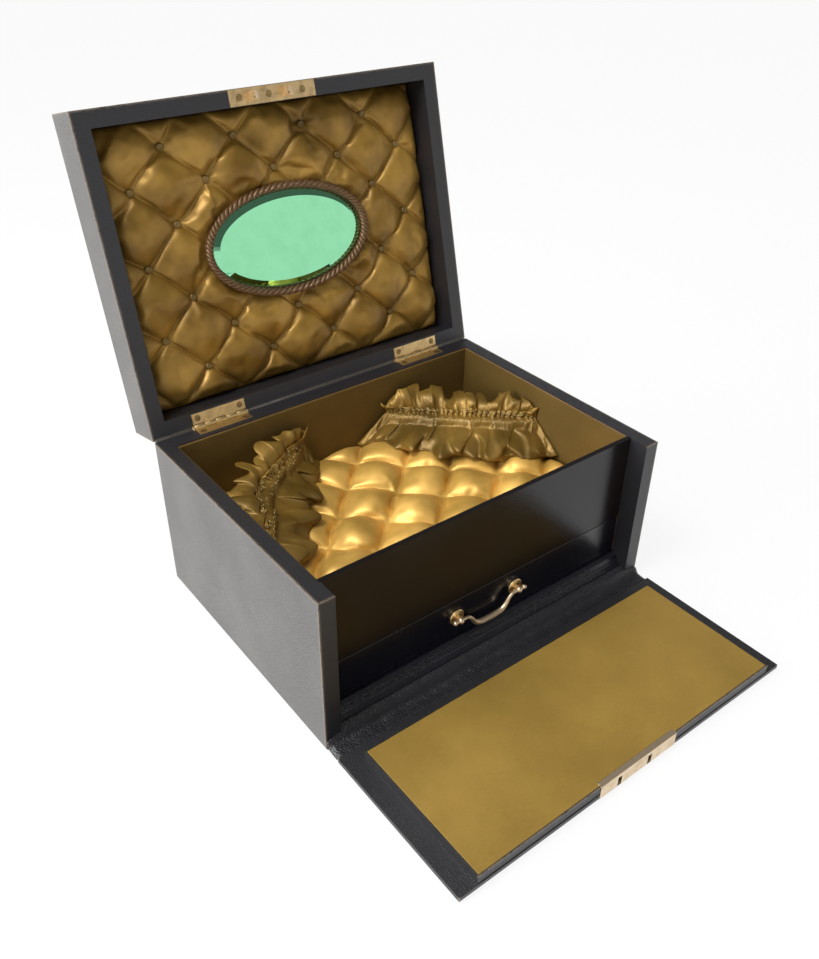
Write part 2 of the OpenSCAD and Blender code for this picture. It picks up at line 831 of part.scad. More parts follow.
module lid_quilt() {
    xs = lattice(-quilt_x, quilt_x, 0, quilt_pitch_x / 8);
    ys = lattice(quilt_y0, quilt_y1, mirror_y, quilt_pitch_y / 4);
    depth = lid_board_z - rim_z;
    color("#b98f3c") opened_lid() translate([0, 0, lid_board_z]) mirror([0, 0, 1])
        height_solid(xs, ys, [for (y = ys) [for (x = xs) depth - quilt_depth(x, y)]], 0);
}

// Covered buttons at the meeting points of the quilt's creases, each on a pointed shank
button_margin = 8;
shank_r = 0.5;
shank_tip_r = 0.12;
shank_h = 1;
shank_gap = 0.03;

module quilt_buttons() {
    rows = [ceil((quilt_y0 + button_margin - mirror_y) / quilt_pitch_y)
        : floor((quilt_y1 - button_margin - mirror_y) / quilt_pitch_y)];
    half_row = ceil((quilt_x - button_margin) / quilt_pitch_x);
    color("#7a5a2a") opened_lid()
        for (row = rows, i = [-half_row : half_row])
            let (x = (i + (row % 2 == 0 ? 0 : 0.5)) * quilt_pitch_x, y = mirror_y + row * quilt_pitch_y)
            if (abs(x) < quilt_x - button_margin && !in_mirror(x, y, rope_r + button_r))
                translate([x, y, rim_z + quilt_depth(x, y) - shank_h - shank_gap])
                    rotate([180, 0, 0]) button();
}

module button() {
    rotate_extrude() intersection() {
        translate([0, -0.6]) circle(button_r);
        square([button_r * 2, button_r * 2]);
    }
    translate([0, 0, -shank_h]) cylinder(r1 = shank_tip_r, r2 = shank_r, h = shank_h + cut);
}

// Rings of an ellipse stacked into a closed solid; each ring is [half width, half height, z]
module ellipse_stack(rings) {
    sides = 72;
    count = len(rings);
    points = [for (r = rings, k = [0 : sides - 1])
        [r[0] * cos(360 * k / sides), r[1] * sin(360 * k / sides), r[2]]];
    walls = [for (j = [0 : count - 2], k = [0 : sides - 1])
        [j * sides + k, (j + 1) * sides + k, (j + 1) * sides + (k + 1) % sides,
            j * sides + (k + 1) % sides]];
    ends = [[for (k = [0 : sides - 1]) k], [for (k = [sides - 1 : -1 : 0]) (count - 1) * sides + k]];
    polyhedron(points, concat(walls, ends));
}

module mirror_glass() {
    a = rope_a - rope_r - glass_gap;
    b = rope_b - rope_r - glass_gap;
    face = mirror_card_z - glass_t;
    color("#8fd0ae") opened_lid() translate([0, mirror_y, 0]) ellipse_stack([
        [a - glass_bevel, b - glass_bevel, face], [a, b, face + glass_edge_t],
        [a, b, mirror_card_z]]);
}

module mirror_card() {
    color("#5a4630") opened_lid() translate([0, mirror_y, 0]) ellipse_stack([
        [rope_a + 1.2, rope_b + 1.2, mirror_card_z],
        [rope_a + 1.2, rope_b + 1.2, mirror_card_z + mirror_card_t]]);
}

module mirror_rope() {
    turns = 64;
    sides = 10;
    points = [for (i = [0 : turns - 1], k = [0 : sides - 1])
        let (
            t = 360 * i / turns,
            side = [rope_b * cos(t), rope_a * sin(t)],
            out = side / norm(side),
            r = rope_r * cos(360 * k / sides))
        [rope_a * cos(t) + out[0] * r, rope_b * sin(t) + out[1] * r,
            rope_z + rope_r * sin(360 * k / sides)]];
    faces = [for (i = [0 : turns - 1], k = [0 : sides - 1], half = [0, 1])
        let (j = (i + 1) % turns, m = (k + 1) % sides)
        half == 0 ? [i * sides + k, j * sides + m, j * sides + k]
            : [i * sides + k, i * sides + m, j * sides + m]];
    color("#6b5230") opened_lid() translate([0, mirror_y, 0]) polyhedron(points, faces);
}

module strike_plate() {
    color("#c9a66a") opened_lid() difference() {
        block([-lock_len / 2, strike_y - strike_w / 2, rim_z],
            [lock_len / 2, strike_y + strike_w / 2, rim_z + plate_t]);
        at_strike_screws() screw_solid(run);
    }
}

// Two eyes that drop through the lock plate's slots for the bolt to pass
module strike_staples() {
    color("#c9a66a") opened_lid() for (x = staple_x)
        difference() {
            block([x - staple_t / 2, strike_y - staple_w / 2, rim_z - staple_h],
                [x + staple_t / 2, strike_y + staple_w / 2, rim_z]);
            translate([x - staple_t, strike_y, bolt_z]) rotate([0, 90, 0])
                cylinder(r = eye_r, h = 2 * staple_t);
        }
}

module strike_screws() {
    color("#b3915a") opened_lid() at_strike_screws() slotted_screw();
}

module left_hinge_lid_leaf() {
    color("#c9a66a") opened_lid() lid_leaf(-hinge_x);
}

module right_hinge_lid_leaf() {
    color("#c9a66a") opened_lid() lid_leaf(hinge_x);
}

module lid_hinge_screws() {
    color("#b3915a") opened_lid() at_lid_screws() slotted_screw();
}

// Fall front, built closed and then laid open
module flap_form(inset) {
    y0 = flap_out_y + inset;
    y1 = flap_in_y - inset;
    x = half_w - inset;
    z0 = flap_foot + inset;
    z1 = case_h - inset;
    b = flap_bevel;
    intersection() {
        along_x(-half_w, half_w, [
            [y1, z0], [y1, z1], [flap_out_y + b, z1], [y0, z1 - b], [y0, z0 + b],
            [flap_out_y + b, z0]]);
        translate([0, 0, 0]) linear_extrude(case_h) polygon([
            [-x, y1], [x, y1], [x, flap_out_y + b], [x - b, y0], [b - x, y0],
            [-x, flap_out_y + b]]);
    }
}

// Hollow for the lock, open at the top edge
module lock_room() {
    block([-lock_case_len / 2, lock_y - lock_case_t / 2, case_h - lock_h],
        [lock_case_len / 2, lock_y + lock_case_t / 2, case_h + 1]);
}

module lock_plate_bed() {
    block([-lock_len / 2, lock_plate_front, lock_roof_z],
        [lock_len / 2, plinth_face_y + 1, case_h + 1]);
    block([-lock_len / 2, plinth_face_y - lock_plate_t, case_h - lock_lip],
        [lock_len / 2, plinth_face_y + 1, case_h + 1]);
}

module keyhole(y0, y1) {
    translate([0, y1, key_z]) rotate([90, 0, 0]) cylinder(r = key_r, h = y1 - y0);
    block([-key_slot[0] / 2, y0, key_z - key_slot[1]], [key_slot[0] / 2, y1, key_z]);
}

module escutcheon_bed() {
    translate([0, 0, key_z - 1]) block(
        [-escutcheon_size[0] / 2, flap_out_y - 1, -escutcheon_size[1] / 2],
        [escutcheon_size[0] / 2, flap_out_y + escutcheon_t + 0.1, escutcheon_size[1] / 2]);
}

module flap_board() {
    color("#7d5f3e") opened_front() difference() {
        flap_form(leather_t);
        lock_room();
        lock_plate_bed();
        escutcheon_bed();
        keyhole(flap_out_y - 1, lock_y);
    }
}

module plinth_board() {
    color("#85653f") opened_front() difference() {
        block([-plinth_x + leather_t, flap_in_y - leather_t, plinth_z + leather_t],
            [plinth_x - leather_t, plinth_face_y - silk_t, plinth_top - leather_t]);
        lock_room();
        lock_plate_bed();
    }
}

module flap_leather() {
    color("#26252a") opened_front() difference() {
        union() {
            flap_form(0);
            block([-plinth_x, flap_in_y - leather_t, plinth_z],
                [plinth_x, plinth_face_y, plinth_top]);
        }
        flap_form(leather_t);
        block([-plinth_x + leather_t, flap_in_y - leather_t - cut, plinth_z + leather_t],
            [plinth_x - leather_t, plinth_face_y + 1, plinth_top - leather_t]);
        lock_room();
        lock_plate_bed();
        escutcheon_bed();
        keyhole(flap_out_y - 1, lock_y);
    }
}

module silk_panel() {
    color("#93752a") opened_front() difference() {
        block([-plinth_x + silk_inset, plinth_face_y - silk_t, plinth_z + silk_inset],
            [plinth_x - silk_inset, plinth_face_y, plinth_top - silk_inset]);
        lock_plate_bed();
    }
}

// Lock plate: one strip on the top edge with two slots, one turned over the inner face
module lock_plate() {
    color("#d6b683") opened_front() difference() {
        union() {
            block([-lock_len / 2, lock_plate_front, lock_roof_z],
                [lock_len / 2, plinth_face_y, case_h]);
            block([-lock_len / 2, plinth_face_y - lock_plate_t, case_h - lock_lip],
                [lock_len / 2, plinth_face_y, case_h]);
        }
        for (x = staple_x)
            block([x - staple_t / 2 - slot_side, lock_y - staple_w / 2 - slot_side, lock_roof_z - 1],
                [x + staple_t / 2 + slot_side, lock_y + staple_w / 2 + slot_side, case_h + 1]);
    }
}

module lock_case() {
    low = case_h - lock_h;
    color("#8d8778") opened_front() difference() {
        block([-lock_case_len / 2, lock_y - lock_case_t / 2, low],
            [lock_case_len / 2, lock_y + lock_case_t / 2, lock_roof_z]);
        block([-lock_case_len / 2 + lock_wall, lock_y - lock_case_t / 2 + lock_wall, low + lock_wall],
            [lock_case_len / 2 - lock_wall, lock_y + lock_case_t / 2 - lock_wall, lock_roof_z + 1]);
        keyhole(lock_y - lock_case_t, lock_y);
    }
}

// Bolt: a bar with two fingers that slide through the staples' eyes
module lock_bolt() {
    tip = staple_t / 2 + 0.6;
    finger_len = bolt_throw + bolt_t;
    bar_top = rim_z - staple_h - 0.5;
    color("#a89060") opened_front() union() {
        block([staple_x[0] - tip - finger_len, lock_y - bolt_t / 2, bar_top - bolt_bar_h],
            [staple_x[1] - tip, lock_y + bolt_t / 2, bar_top]);
        for (x = staple_x) {
            block([x - tip - finger_len, lock_y - bolt_t / 2, bar_top - cut],
                [x - tip - finger_len + bolt_t, lock_y + bolt_t / 2, bolt_z + bolt_t / 2]);
            block([x - tip - finger_len, lock_y - bolt_t / 2, bolt_z - bolt_t / 2],
                [x - tip, lock_y + bolt_t / 2, bolt_z + bolt_t / 2]);
        }
    }
}

module escutcheon() {
    color("#c9a66a") opened_front() difference() {
        translate([0, 0, key_z - 1]) block(
            [-escutcheon_size[0] / 2, flap_out_y + 0.1, -escutcheon_size[1] / 2],
            [escutcheon_size[0] / 2, flap_out_y + escutcheon_t + 0.1, escutcheon_size[1] / 2]);
        keyhole(flap_out_y - 1, flap_in_y);
    }
}

// Drawer
module drawer_front() {
    color("#7d5f3e") difference() {
        block([-drawer_x, drawer_board_y, drawer_z], [drawer_x, drawer_in_y, drawer_top]);
        at_posts() translate([0, 0, -20]) cylinder(r = 1.2, h = 20);
        at_posts() translate([0, 0, -leather_t - drawer_front_t - 1]) cylinder(r = 2.5, h = 3.2);
    }
}

module drawer_front_leather() {
    color("#141114") difference() {
        block([-drawer_x, drawer_face_y, drawer_z], [drawer_x, drawer_board_y, drawer_top]);
        at_posts() translate([0, 0, -5]) cylinder(r = 1.2, h = 10);
    }
}

module drawer_side() {
    block([drawer_x - drawer_side_t, drawer_in_y, drawer_z], [drawer_x, drawer_end_y, drawer_wall_top]);
}

module drawer_left_side() {
    color("#8f7048") mirror([1, 0, 0]) drawer_side();
}

module drawer_right_side() {
    color("#8f7048") drawer_side();
}

module drawer_back() {
    color("#8f7048") block([-drawer_x + drawer_side_t, drawer_end_y - drawer_side_t, drawer_z],
        [drawer_x - drawer_side_t, drawer_end_y, drawer_wall_top]);
}

module drawer_bottom() {
    color("#a3835a") block([-drawer_x + drawer_side_t, drawer_in_y, drawer_z],
        [drawer_x - drawer_side_t, drawer_end_y - drawer_side_t, drawer_z + drawer_bottom_t]);
}

module drawer_lining() {
    z = drawer_z + drawer_bottom_t;
    color("#8c6d22") block([-drawer_x + drawer_side_t, drawer_in_y, z],
        [drawer_x - drawer_side_t, drawer_end_y - drawer_side_t, z + drawer_lining_t]);
}

// Handle: posts stand out of the drawer front along -Y
module at_posts() {
    for (side = [-1, 1])
        translate([side * post_x, drawer_face_y, handle_z]) rotate([90, 0, 0]) children();
}

module handle_rosettes() {
    r = rosette_r;
    color("#b8934f") at_posts() rotate_extrude() polygon([
        [1.25, 0], [r - 0.4, 0], [r, 0.4], [r, 0.9], [r - 0.7, 1.3], [r - 1.6, 0.9],
        [r - 2.4, 1.2], [2.2, 0.8], [1.25, 0.8]]);
}

module handle_posts() {
    color("#c7a25a") difference() {
        at_posts() {
            translate([0, 0, -leather_t - drawer_front_t + 0.4]) cylinder(r = 1.15, h = 8);
            translate([0, 0, 0.8]) cylinder(r = 1.9, h = pivot_out - 2);
            translate([0, 0, pivot_out]) sphere(post_head_r);
            translate([0, 0, -leather_t - drawer_front_t - 0.2]) cylinder(r = 2.3, h = 2);
        }
        translate([-post_x - 10, pivot_y, handle_z]) rotate([0, 90, 0])
            cylinder(r = bail_bore_r, h = handle_span + 20);
    }
}

// Centre line of half the bail, from a pivot inwards: [across, drop as a share, radius as a share]
bail_line = [
    [2.8, 0, 0.54], [4.6, 0.01, 0.56], [7, 0.1, 0.62], [9.2, 0.36, 0.72], [11.2, 0.66, 0.84],
    [14, 0.88, 0.94], [18.4, 0.98, 1]];

function ease(a, b, c, d, t) =
    0.5 * (2 * b + (c - a) * t + (2 * a - 5 * b + 4 * c - d) * t * t
        + (3 * b - a - 3 * c + d) * t * t * t);

function bail_whole() =
    let (half = [for (p = bail_line) [-post_x + p[0], -bail_drop * p[1], bail_r * p[2]]],
        n = len(half))
    concat(half, [[0, -bail_drop, bail_r]],
        [for (i = [n - 1 : -1 : 0]) [-half[i][0], half[i][1], half[i][2]]]);

function bail_rings(steps) =
    let (p = bail_whole(), n = len(p))
    concat([for (i = [0 : n - 2], k = [0 : steps - 1])
        ease(p[max(i - 1, 0)], p[i], p[i + 1], p[min(i + 2, n - 1)], k / steps)], [p[n - 1]]);

module bail_bar() {
    rings = bail_rings(3);
    n = len(rings);
    sides = 12;
    points = [for (i = [0 : n - 1], k = [0 : sides - 1])
        let (
            a = rings[max(i - 1, 0)],
            b = rings[min(i + 1, n - 1)],
            way = i == 0 || i == n - 1 ? [1, 0] : [b[0] - a[0], b[1] - a[1]] / norm([b[0] - a[0], b[1] - a[1]]),
            r = rings[i][2])
        [rings[i][0] - way[1] * r * cos(360 * k / sides), r * sin(360 * k / sides),
            rings[i][1] + way[0] * r * cos(360 * k / sides)]];
    walls = [for (i = [0 : n - 2], k = [0 : sides - 1], half = [0, 1])
        let (m = (k + 1) % sides)
        half == 0 ? [i * sides + k, (i + 1) * sides + m, (i + 1) * sides + k]
            : [i * sides + k, i * sides + m, (i + 1) * sides + m]];
    ends = [[for (k = [sides - 1 : -1 : 0]) k], [for (k = [0 : sides - 1]) (n - 1) * sides + k]];
    polyhedron(points, concat(walls, ends));
}

module drawer_bail() {
    pin_out = post_head_r + 0.4;
    color("#d2ab5e") translate([0, pivot_y, handle_z]) union() {
        bail_bar();
        mirrored_x() translate([post_x, 0, 0]) rotate([0, 90, 0]) {
            translate([0, 0, -4]) cylinder(r = bail_pin_r, h = 4 + pin_out + 0.8);
            translate([0, 0, pin_out + ball_r]) sphere(ball_r);
        }
    }
}

base_cover();
base_board();
drawer_bed();
sill_rail();
left_side_board();
right_side_board();
back_board();
front_panel_board();
compartment_floor();
case_leather();
front_panel_leather();
front_lining();
back_lining();
left_lining();
right_lining();
floor_pad();
left_pouch();
right_pouch();
left_hinge_case_leaf();
right_hinge_case_leaf();
case_hinge_screws();
hinge_pins();
leather_hinge();
lid_front_rail();
lid_back_rail();
lid_left_rail();
lid_right_rail();
lid_board();
lid_leather();
lid_quilt();
quilt_buttons();
mirror_glass();
mirror_card();
mirror_rope();
strike_plate();
strike_staples();
strike_screws();
left_hinge_lid_leaf();
right_hinge_lid_leaf();
lid_hinge_screws();
flap_board();
plinth_board();
flap_leather();
silk_panel();
lock_plate();
lock_case();
lock_bolt();
escutcheon();
drawer_front();
drawer_front_leather();
drawer_left_side();
drawer_right_side();
drawer_back();
drawer_bottom();
drawer_lining();
handle_rosettes();
handle_posts();
drawer_bail();
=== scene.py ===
# %% [markdown]
# A vanity box with a mirror: black leather outside, gold silk and satin inside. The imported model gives
# every hard part its place. This script dresses them: leather with worn edges, padded satin, gathered
# pockets, a twisted rope around the mirror, polished brass. Run it from top to bottom; each step says
# first what the real thing is and why it is made this way.

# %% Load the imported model
import json
import math

import bmesh
import bpy
import numpy as np
from mathutils import Matrix, Vector
from mathutils.bvhtree import BVHTree


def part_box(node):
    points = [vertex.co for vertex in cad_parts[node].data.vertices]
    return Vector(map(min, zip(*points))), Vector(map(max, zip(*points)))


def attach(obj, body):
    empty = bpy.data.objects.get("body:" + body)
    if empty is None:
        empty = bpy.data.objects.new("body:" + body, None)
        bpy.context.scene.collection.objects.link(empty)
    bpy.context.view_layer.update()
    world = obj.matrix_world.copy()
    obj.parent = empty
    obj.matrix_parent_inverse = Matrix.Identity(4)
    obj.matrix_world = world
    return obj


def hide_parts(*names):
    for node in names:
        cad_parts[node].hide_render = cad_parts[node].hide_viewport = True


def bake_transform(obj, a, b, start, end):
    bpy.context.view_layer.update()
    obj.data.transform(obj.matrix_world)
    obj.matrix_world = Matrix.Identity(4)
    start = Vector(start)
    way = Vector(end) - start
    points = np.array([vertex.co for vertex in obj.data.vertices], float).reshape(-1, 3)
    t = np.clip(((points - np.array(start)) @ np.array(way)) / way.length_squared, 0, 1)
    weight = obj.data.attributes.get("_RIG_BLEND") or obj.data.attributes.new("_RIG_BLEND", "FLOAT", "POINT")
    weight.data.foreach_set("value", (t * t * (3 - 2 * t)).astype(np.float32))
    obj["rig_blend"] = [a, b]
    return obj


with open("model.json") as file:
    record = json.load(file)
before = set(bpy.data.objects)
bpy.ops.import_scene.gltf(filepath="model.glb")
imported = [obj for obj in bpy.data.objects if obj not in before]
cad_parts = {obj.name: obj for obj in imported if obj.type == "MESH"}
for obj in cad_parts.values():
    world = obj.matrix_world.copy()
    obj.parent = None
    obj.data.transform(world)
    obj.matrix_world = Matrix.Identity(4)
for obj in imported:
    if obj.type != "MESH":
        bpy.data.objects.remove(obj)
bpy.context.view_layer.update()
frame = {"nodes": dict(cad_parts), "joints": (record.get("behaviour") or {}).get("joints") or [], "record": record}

scene = bpy.context.scene
mm = 0.001

# %% [markdown]
# The lid and the fall front stand open, but both are easier to shape where they are straight: shut. So
# each gets a matrix that carries a shut piece to its open place, worked out from its own joint, and its
# inverse for measuring.

# %% Places of the lid and the fall front
joints = {j["name"]: j for j in frame["joints"]}


def turned(joint, degrees):
    """The matrix that turns a shut piece by so many degrees about a joint's axis line."""
    pivot = Vector(joint["pos_m"])
    turn = Matrix.Rotation(math.radians(degrees), 4, Vector(joint["axis"]))
    return Matrix.Translation(pivot) @ turn @ Matrix.Translation(-pivot)


lid_opened = turned(joints["lid_hinge"], -joints["lid_hinge"]["range_deg"][0])
front_opened = turned(joints["fall_front_hinge"], -joints["fall_front_hinge"]["range_deg"][0])
UNTURNED = Matrix.Identity(4)


def shut_box(node, opened=UNTURNED):
    """Lowest and highest corner of a CAD node, measured with the piece turned shut."""
    back = opened.inverted()
    points = np.array([back @ v.co for v in frame["nodes"][node].data.vertices])
    return Vector(points.min(0)), Vector(points.max(0))


lid_low, lid_high = shut_box("lid_leather", lid_opened)
print("lid shut", lid_low, lid_high)

# %% [markdown]
# The camera stands where the photographer stood. Its place and its angles were solved from the box's
# corners, and the sensor's long side matches the picture's long side, so no shift is needed.

# %% Camera
camera_at = Vector((-310.9, -401.3, 425.7)) * mm
camera_azimuth, camera_elevation, camera_roll = 37.97, 34.08, 0.743
camera = bpy.data.objects.new("camera", bpy.data.cameras.new("camera"))
scene.collection.objects.link(camera)
scene.camera = camera
camera.data.lens = 35.0
camera.data.sensor_width = 36.0
camera.data.sensor_fit = "AUTO"
camera.data.clip_start, camera.data.clip_end = 0.01, 50
camera.matrix_world = (
    Matrix.Translation(camera_at)
    @ Matrix.Rotation(-math.radians(camera_azimuth), 4, "Z")
    @ Matrix.Rotation(math.radians(90 - camera_elevation), 4, "X")
    @ Matrix.Rotation(math.radians(camera_roll), 4, "Z")
)
print("camera at", camera_at, "lens", camera.data.lens, "mm")

# %% [markdown]
# Shader maths reads best as plain arithmetic. Wire wraps one output socket, so that writing a * b + 1
# adds the Math nodes, and 1 - mask works as well.

# %% Arithmetic on sockets


class Wire:
    """One output socket of a tree; arithmetic on it adds Math nodes."""

    def __init__(self, tree, socket):
        self.tree, self.socket = tree, socket

    def _maths(self, operation, first, second=None):
        values = {0: first} if second is None else {0: first, 1: second}
        return self.tree.node("ShaderNodeMath", {"operation": operation}, values)

    def __add__(self, other):
        return self._maths("ADD", self, other)

    def __radd__(self, other):
        return self._maths("ADD", other, self)

    def __sub__(self, other):
        return self._maths("SUBTRACT", self, other)

    def __rsub__(self, other):
        return self._maths("SUBTRACT", other, self)

    def __mul__(self, other):
        return self._maths("MULTIPLY", self, other)

    def __rmul__(self, other):
        return self._maths("MULTIPLY", other, self)

    def __abs__(self):
        return self._maths("ABSOLUTE", self)

    def low(self, other):
        return self._maths("MINIMUM", self, other)

    def high(self, other):
        return self._maths("MAXIMUM", self, other)

    def wave(self):
        return self._maths("SINE", self)

    def step(self, start, end):
        """0 before start, 1 after end, with a soft rise between."""
        return self.tree.node(
            "ShaderNodeMapRange",
            {"interpolation_type": "SMOOTHSTEP"},
            {"Value": self, "From Min": start, "From Max": end},
        )


# %% [markdown]
# Everything that isn't plain arithmetic goes through one method, node(). It takes the node's type, then
# its settings, then the values or wires of its sockets, so that every finish below reads as a list of
# what feeds what.

# %% A tree of nodes


class Tree:
    """A node tree. node() adds any node: settings first, then the values or wires of its sockets."""

    def __init__(self, tree):
        self.tree = tree

    def node(self, kind, settings=None, values=None, out=0):
        made = self.tree.nodes.new(kind)
        for key, value in (settings or {}).items():
            setattr(made, key, value)
        for key, value in (values or {}).items():
            self.put(made.inputs[key], value)
        return Wire(self, made.outputs[out])

    def put(self, socket, value):
        if isinstance(value, Wire):
            self.tree.links.new(value.socket, socket)
        elif isinstance(value, (tuple, list)) and socket.type == "RGBA" and len(value) == 3:
            socket.default_value = (*value, 1)
        else:
            socket.default_value = value


# %% [markdown]
# A finish is the tree of one material. All finishes read Object coordinates, so their grain stays on the
# piece. The lid and the fall front stand open; their coordinates are turned shut first, so grain and
# edges line up with the case.

# %% The tree of one finish


class Finish(Tree):
    """One procedural material."""

    def __init__(self, name):
        self.material = bpy.data.materials.new(name)
        self.material.use_nodes = True
        super().__init__(self.material.node_tree)
        self.shader = self.tree.nodes["Principled BSDF"]

    def coords(self, opened=UNTURNED, scale=(1, 1, 1)):
        """Object coordinates, turned shut for a piece that stands open, and scaled."""
        place = self.node("ShaderNodeTexCoord", out="Object")
        back = opened.inverted()
        turned_shut = self.node(
            "ShaderNodeMapping",
            {},
            {"Vector": place, "Location": back.translation, "Rotation": back.to_euler()},
        )
        return self.node(
            "ShaderNodeVectorMath", {"operation": "MULTIPLY"}, {0: turned_shut, 1: scale}
        )

    def axes(self, vector):
        split = self.node("ShaderNodeSeparateXYZ", {}, {"Vector": vector})
        return [Wire(self, split.socket.node.outputs[k]) for k in range(3)]

    def noise(self, vector, scale, detail=3.0, rough=0.5):
        values = {"Vector": vector, "Scale": scale, "Detail": detail, "Roughness": rough}
        return self.node("ShaderNodeTexNoise", {}, values)

    def cells(self, vector, scale, feature="F1", smooth=None):
        settings = {"feature": feature}
        values = {"Vector": vector, "Scale": scale}
        if smooth is not None:
            values["Smoothness"] = smooth
        return self.node("ShaderNodeTexVoronoi", settings, values)

    def mix(self, factor, first, second):
        made = self.node("ShaderNodeMix", {"data_type": "RGBA"}, {})
        node = made.socket.node
        by_name = {s.identifier: s for s in node.inputs}
        self.put(by_name["Factor_Float"], factor)
        self.put(by_name["A_Color"], first)
        self.put(by_name["B_Color"], second)
        return Wire(self, next(s for s in node.outputs if s.identifier == "Result_Color"))

    def bump(self, height, distance, strength=1.0):
        values = {"Height": height, "Distance": distance, "Strength": strength}
        return self.node("ShaderNodeBump", {}, values)

    def surface(self, **sockets):
        for key, value in sockets.items():
            self.put(self.shader.inputs[key.replace("_", " ")], value)
        return self.material


# %% [markdown]
# The box is covered in thin goat leather rolled with a fine grain. Its edges have rubbed through to a
# warm brown, so each leather reads how far a point is from the nearest edge of its own box: the middle
# one of the three distances to the box's faces. Its outer sides carry a painted sheen: a lighter grey in
# their colour that stands in for the bright floor they reflect, while the rims and the inside keep their
# black. Both masks follow the real edges and faces, not a camera.

# %% Where leather wears, and where a sheen is painted on its sides
LEATHER_BLACK = (0.0105, 0.0100, 0.0125)
# Painted sheen: the lighter grey of the outer sides stands in for the bright floor that they reflect.
LEATHER_SIDE_SHEEN = (0.205, 0.196, 0.180)
CLEAN_BLOOM = (0.015, 0.014, 0.017)
LID_CHAMFER = 4.5 * mm
LEATHER_BROWN = (0.200, 0.150, 0.100)


def edge_distance(finish, place, low, high):
    """Metres from the nearest edge of a box, for points on its faces."""
    middle = (low + high) / 2
    half = (high - low) / 2
    x, y, z = [
        half[k] - abs(axis - middle[k]) for k, axis in enumerate(finish.axes(place))
    ]
    return x.low(y).high(x.high(y).low(z))


def painted_sheen_sides(finish, place, low, high, top):
    """1 on a box's left, right and back outer faces, and on its chamfered top where asked; 0 elsewhere. It marks
    where the painted sheen goes.
    """
    x, y, z = finish.axes(place)
    outside = (high.x - (low.x + high.x) / 2 - abs(x - (low.x + high.x) / 2)).low(high.y - y)
    if top:
        outside = outside.low(high.z - LID_CHAMFER - z)
    return 1 - outside.step(0.3 * mm, 0.9 * mm)


# %% [markdown]
# Two leathers: a fine one for nearly everything, and a coarser hide with rounded pebbles for the hinge
# strip, which has to bend. The grain is noise and cell edges in the bump; a lighter tone comes through
# on its ridges, and on the outer sides that tone is a painted sheen.

# %% Two leathers


def fine_leather(name, opened=UNTURNED, worn=None, along=(1, 1, 1), black=LEATHER_BLACK, ridge_tone_and_sheen=CLEAN_BLOOM,
                 gloss=0.36, painted_sheen_top=None, relief=0.20 * mm, ior=1.6):
    """Fine leather; worn is the box whose edges have rubbed. The painted-sheen setting: None for no painted sheen,
    False for a painted sheen on the outer sides, True for those and the chamfered top.
    """
    finish = Finish(name)
    place = finish.coords(opened)
    grain = finish.coords(opened, along)
    ridges = finish.noise(grain, 1400, 3, 0.65)
    pores = finish.cells(grain, 900, "DISTANCE_TO_EDGE")
    clouds = finish.noise(place, 22, 4, 0.6)
    scuffs = finish.noise(place, 240, 4, 0.7)
    if painted_sheen_top is not None:
        # Painted sheen: the outer sides get a lighter grey that stands in for the bright floor they reflect.
        ridge_tone_and_sheen = finish.mix(painted_sheen_sides(finish, place, *worn, painted_sheen_top), ridge_tone_and_sheen, LEATHER_SIDE_SHEEN)
    colour = finish.mix(ridges.step(0.28, 0.74) * 0.7 + clouds.step(0.3, 0.8) * 0.2, black, ridge_tone_and_sheen)
    if worn:
        edge = edge_distance(finish, place, *worn)
        rub = (1 - (edge + (scuffs - 0.5) * 3.6 * mm).step(0.1 * mm, 1.6 * mm))
        colour = finish.mix(rub * scuffs.step(0.3, 0.62), colour, LEATHER_BROWN)
    height = ridges * 0.6 + pores.step(0.0, 0.35) * 0.5
    return finish.surface(
        Base_Color=colour,
        Roughness=gloss + (clouds - 0.5) * 0.20 + scuffs * 0.10,
        Normal=finish.bump(height, relief, 0.8),
        IOR=ior,
    )


def pebbled_leather(name, opened=UNTURNED, black=LEATHER_BLACK):
    """Coarser, glossier hide with rounded pebbles."""
    finish = Finish(name)
    place = finish.coords(opened)
    pebbles = finish.cells(place, 900, "SMOOTH_F1", 0.35)
    creases = finish.noise(place, 130, 4, 0.6)
    clouds = finish.noise(place, 30, 3, 0.6)
    height = (1 - pebbles) * 0.7 + creases * 1.4
    colour = finish.mix(clouds.step(0.5, 0.8) * 0.5, black, CLEAN_BLOOM)
    return finish.surface(
        Base_Color=colour,
        Roughness=0.30 + creases * 0.18,
        Normal=finish.bump(height, 0.40 * mm, 1.0),
        IOR=1.6,
    )


# %% [markdown]
# Two cloths: a flat ribbed silk on the cards and the fall front, and a padded satin. Satin shines because
# its threads float, so it gets nearly half of a metal's reflection; silk keeps a duller one. Both show a
# weave finer than a millimetre, and the silk has faded in clouds.

# %% Silk and satin
SILK_DARK = (0.225, 0.137, 0.019)
SILK_LIGHT = (0.390, 0.240, 0.043)
SATIN_DEEP = (0.180, 0.096, 0.012)
SATIN_LIGHT = (0.440, 0.255, 0.048)


def flat_silk(name, opened=UNTURNED, dark=SILK_DARK, light=SILK_LIGHT):
    finish = Finish(name)
    place = finish.coords(opened)
    x, y, z = finish.axes(place)
    warp = (x * (2 * math.pi / (0.42 * mm))).wave()
    weft = ((y + z) * (2 * math.pi / (0.36 * mm))).wave()
    clouds = finish.noise(place, 11, 4, 0.6)
    slubs = finish.noise(finish.coords(opened, (0.15, 1, 1)), 1300, 2, 0.6)
    fade = (clouds * 0.85 + slubs * 0.25).step(0.25, 0.95)
    return finish.surface(
        Base_Color=finish.mix(fade, dark, light),
        Roughness=0.50 + clouds * 0.12,
        Metallic=0.25,
        Normal=finish.bump(warp * 0.5 + weft * 0.5 + slubs * 1.2, 0.05 * mm, 0.6),
        Sheen_Weight=0.12,
        Sheen_Roughness=0.35,
        Sheen_Tint=(0.9, 0.75, 0.4, 1),
    )


